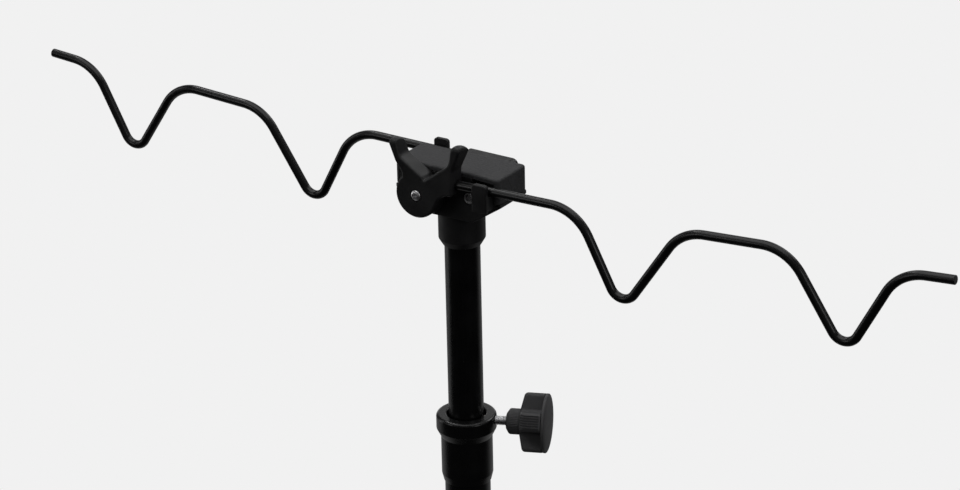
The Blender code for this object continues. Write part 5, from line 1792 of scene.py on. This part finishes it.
@dataclass
class Studio:
    """The camera, the pale floor, the lamps and the world."""

    focal_length: float = 118.45
    sensor_width: float = 36.0
    camera_place: Corner = (0.98145, -1.3897, 1.8383)
    yaw: float = math.radians(33.16)
    pitch: float = math.radians(22.54)
    roll: float = math.radians(-1.22)
    backdrop: float = 0.88
    room: float = 0.07
    floor_size: float = 14.0
    floor_level: float = -0.0006
    floor_albedo: float = 0.3
    floor_dark: float = 0.05
    floor_glow: float = 0.64
    floor_mirrored: float = 0.25
    floor_fade: Pair = (0.7, 1.5)
    floor_turn: Pair = (0.2, 0.6)
    backdrop_turn: Pair = (0.86, 0.96)
    lamps: tuple[Softbox, ...] = (
        Softbox("overhead", (-0.15, -0.1, 2.6), (-0.15, -0.1, 1.0), (1.9, 2.0), 1.1),
        Softbox("back_high", (0.45, 1.7, 2.35), (0.0, 0.09, 1.15), (1.3, 0.8), 1.8),
        Softbox("right_high", (1.9, 0.8, 2.2), (0.0, 0.09, 1.1), (0.8, 1.0), 0.3),
        Softbox("front_right", (1.9, -0.5, 1.7), (0.0, 0.09, 1.1), (0.7, 0.9), 1.6),
        Softbox("left_strip", (-1.9, -0.35, 1.2), (0.0, 0.09, 0.95), (0.45, 1.9), 1.1),
        Softbox("front_left", (-1.2, -1.8, 1.8), (0.0, 0.09, 1.12), (0.7, 0.7), 1.6),
        Softbox("spark", (-0.9, 0.5, 2.3), (0.0, 0.09, 1.1), (0.22, 0.22), 10.0),
    )

    @property
    def away(self) -> Corner:
        """The level direction that the backdrop lies in."""
        return (-math.sin(self.yaw), math.cos(self.yaw), 0.0)

    def camera(self) -> None:
        """Sets the camera at the photograph's viewing angle."""
        right = Vector((math.cos(self.yaw), math.sin(self.yaw), 0.0))
        ahead = Vector(self.away) * math.cos(self.pitch) - Vector((0.0, 0.0, math.sin(self.pitch)))
        up = right.cross(ahead)
        cosine, sine = math.cos(self.roll), math.sin(self.roll)
        rows = Matrix((cosine * right + sine * up, cosine * up - sine * right, -ahead))
        data = bpy.data.cameras.new("view")
        data.lens = self.focal_length
        data.sensor_width = self.sensor_width
        data.sensor_fit = "HORIZONTAL"
        data.clip_end = 50.0
        camera = bpy.data.objects.new("view", data)
        camera.matrix_world = Matrix.Translation(self.camera_place) @ rows.transposed().to_4x4()
        bpy.context.scene.collection.objects.link(camera)
        bpy.context.scene.camera = camera

    def floor(self) -> None:
        """Lays the pale floor, which keeps the object's shadow near it and fades into the backdrop."""
        deselect()
        bpy.ops.mesh.primitive_plane_add(size=self.floor_size, location=(0.0, 0.0, self.floor_level))
        piece = bpy.context.view_layer.objects.active
        piece.name = "floor"
        material = bpy.data.materials.new("floor_paper")
        graph = Graph(material)
        graph.tree.nodes.clear()
        rays = graph.add("LightPath").outputs
        seen = rays["Is Camera Ray"]
        place = graph.add("TexCoord").outputs["Object"]
        tone = graph.blend(seen, (self.floor_dark,) * 3, (self.floor_albedo,) * 3)
        paper = graph.joined(graph.add("BsdfDiffuse"), tone)
        way = graph.joined(graph.add("VectorMath", "NORMALIZE"), place)
        facing = graph.measure("DOT_PRODUCT", way, self.away)
        behind = graph.spread(facing, 0.0, self.floor_mirrored, self.floor_turn)
        mirrored = graph.compute("MULTIPLY", behind, rays["Is Glossy Ray"])
        near, far = graph.add("Emission"), graph.add("Emission")
        graph.link(graph.total(mirrored, seen, self.floor_glow), near.inputs["Strength"])
        far.inputs["Strength"].default_value = self.backdrop
        lit = graph.joined(graph.add("AddShader"), paper, near.outputs[0])
        fade = graph.spread(graph.measure("LENGTH", place), 0.0, 1.0, self.floor_fade)
        share = graph.compute("MULTIPLY", fade, seen)
        mixed = graph.joined(graph.add("MixShader"), share, lit, far.outputs[0])
        graph.link(mixed, graph.add("OutputMaterial").inputs["Surface"])
        piece.data.materials.append(material)

    def world(self) -> None:
        """Makes the world: pale to the camera, a pale backdrop behind the object and a dim room around."""
        world = bpy.data.worlds.new("studio")
        bpy.context.scene.world = world
        graph = Graph(world)
        graph.tree.nodes.clear()
        background = graph.add("Background")
        background.inputs["Color"].default_value = (*EVEN, 1.0)
        rays = graph.add("LightPath").outputs
        facing = graph.measure("DOT_PRODUCT", graph.add("TexCoord").outputs["Generated"], self.away)
        behind = graph.spread(facing, 0.0, 1.0, self.backdrop_turn, "SMOOTHSTEP")
        mirrored = graph.compute("MAXIMUM", rays["Is Glossy Ray"], rays["Is Transmission Ray"])
        shown = graph.compute("MAXIMUM", graph.compute("MULTIPLY", mirrored, behind), rays["Is Camera Ray"])
        graph.link(graph.spread(shown, self.room, self.backdrop), background.inputs["Strength"])
        graph.link(background.outputs[0], graph.add("OutputWorld").inputs["Surface"])

    def build(self) -> None:
        """Sets the camera, the world, the floor and the lamps."""
        bpy.context.scene.view_settings.view_transform = "Standard"
        self.camera()
        self.world()
        self.floor()
        for lamp in self.lamps:
            lamp.hang()


def main() -> None:
    """Builds the sub-assemblies in order, then the studio."""
    logging.basicConfig(level=logging.INFO, format="%(name)s %(message)s")
    for part in (Head(), Column(), Stand(), Studio()):
        log.info("building the %s", type(part).__name__.lower())
        part.build()
    deselect()


if __name__ == "__main__":
    main()
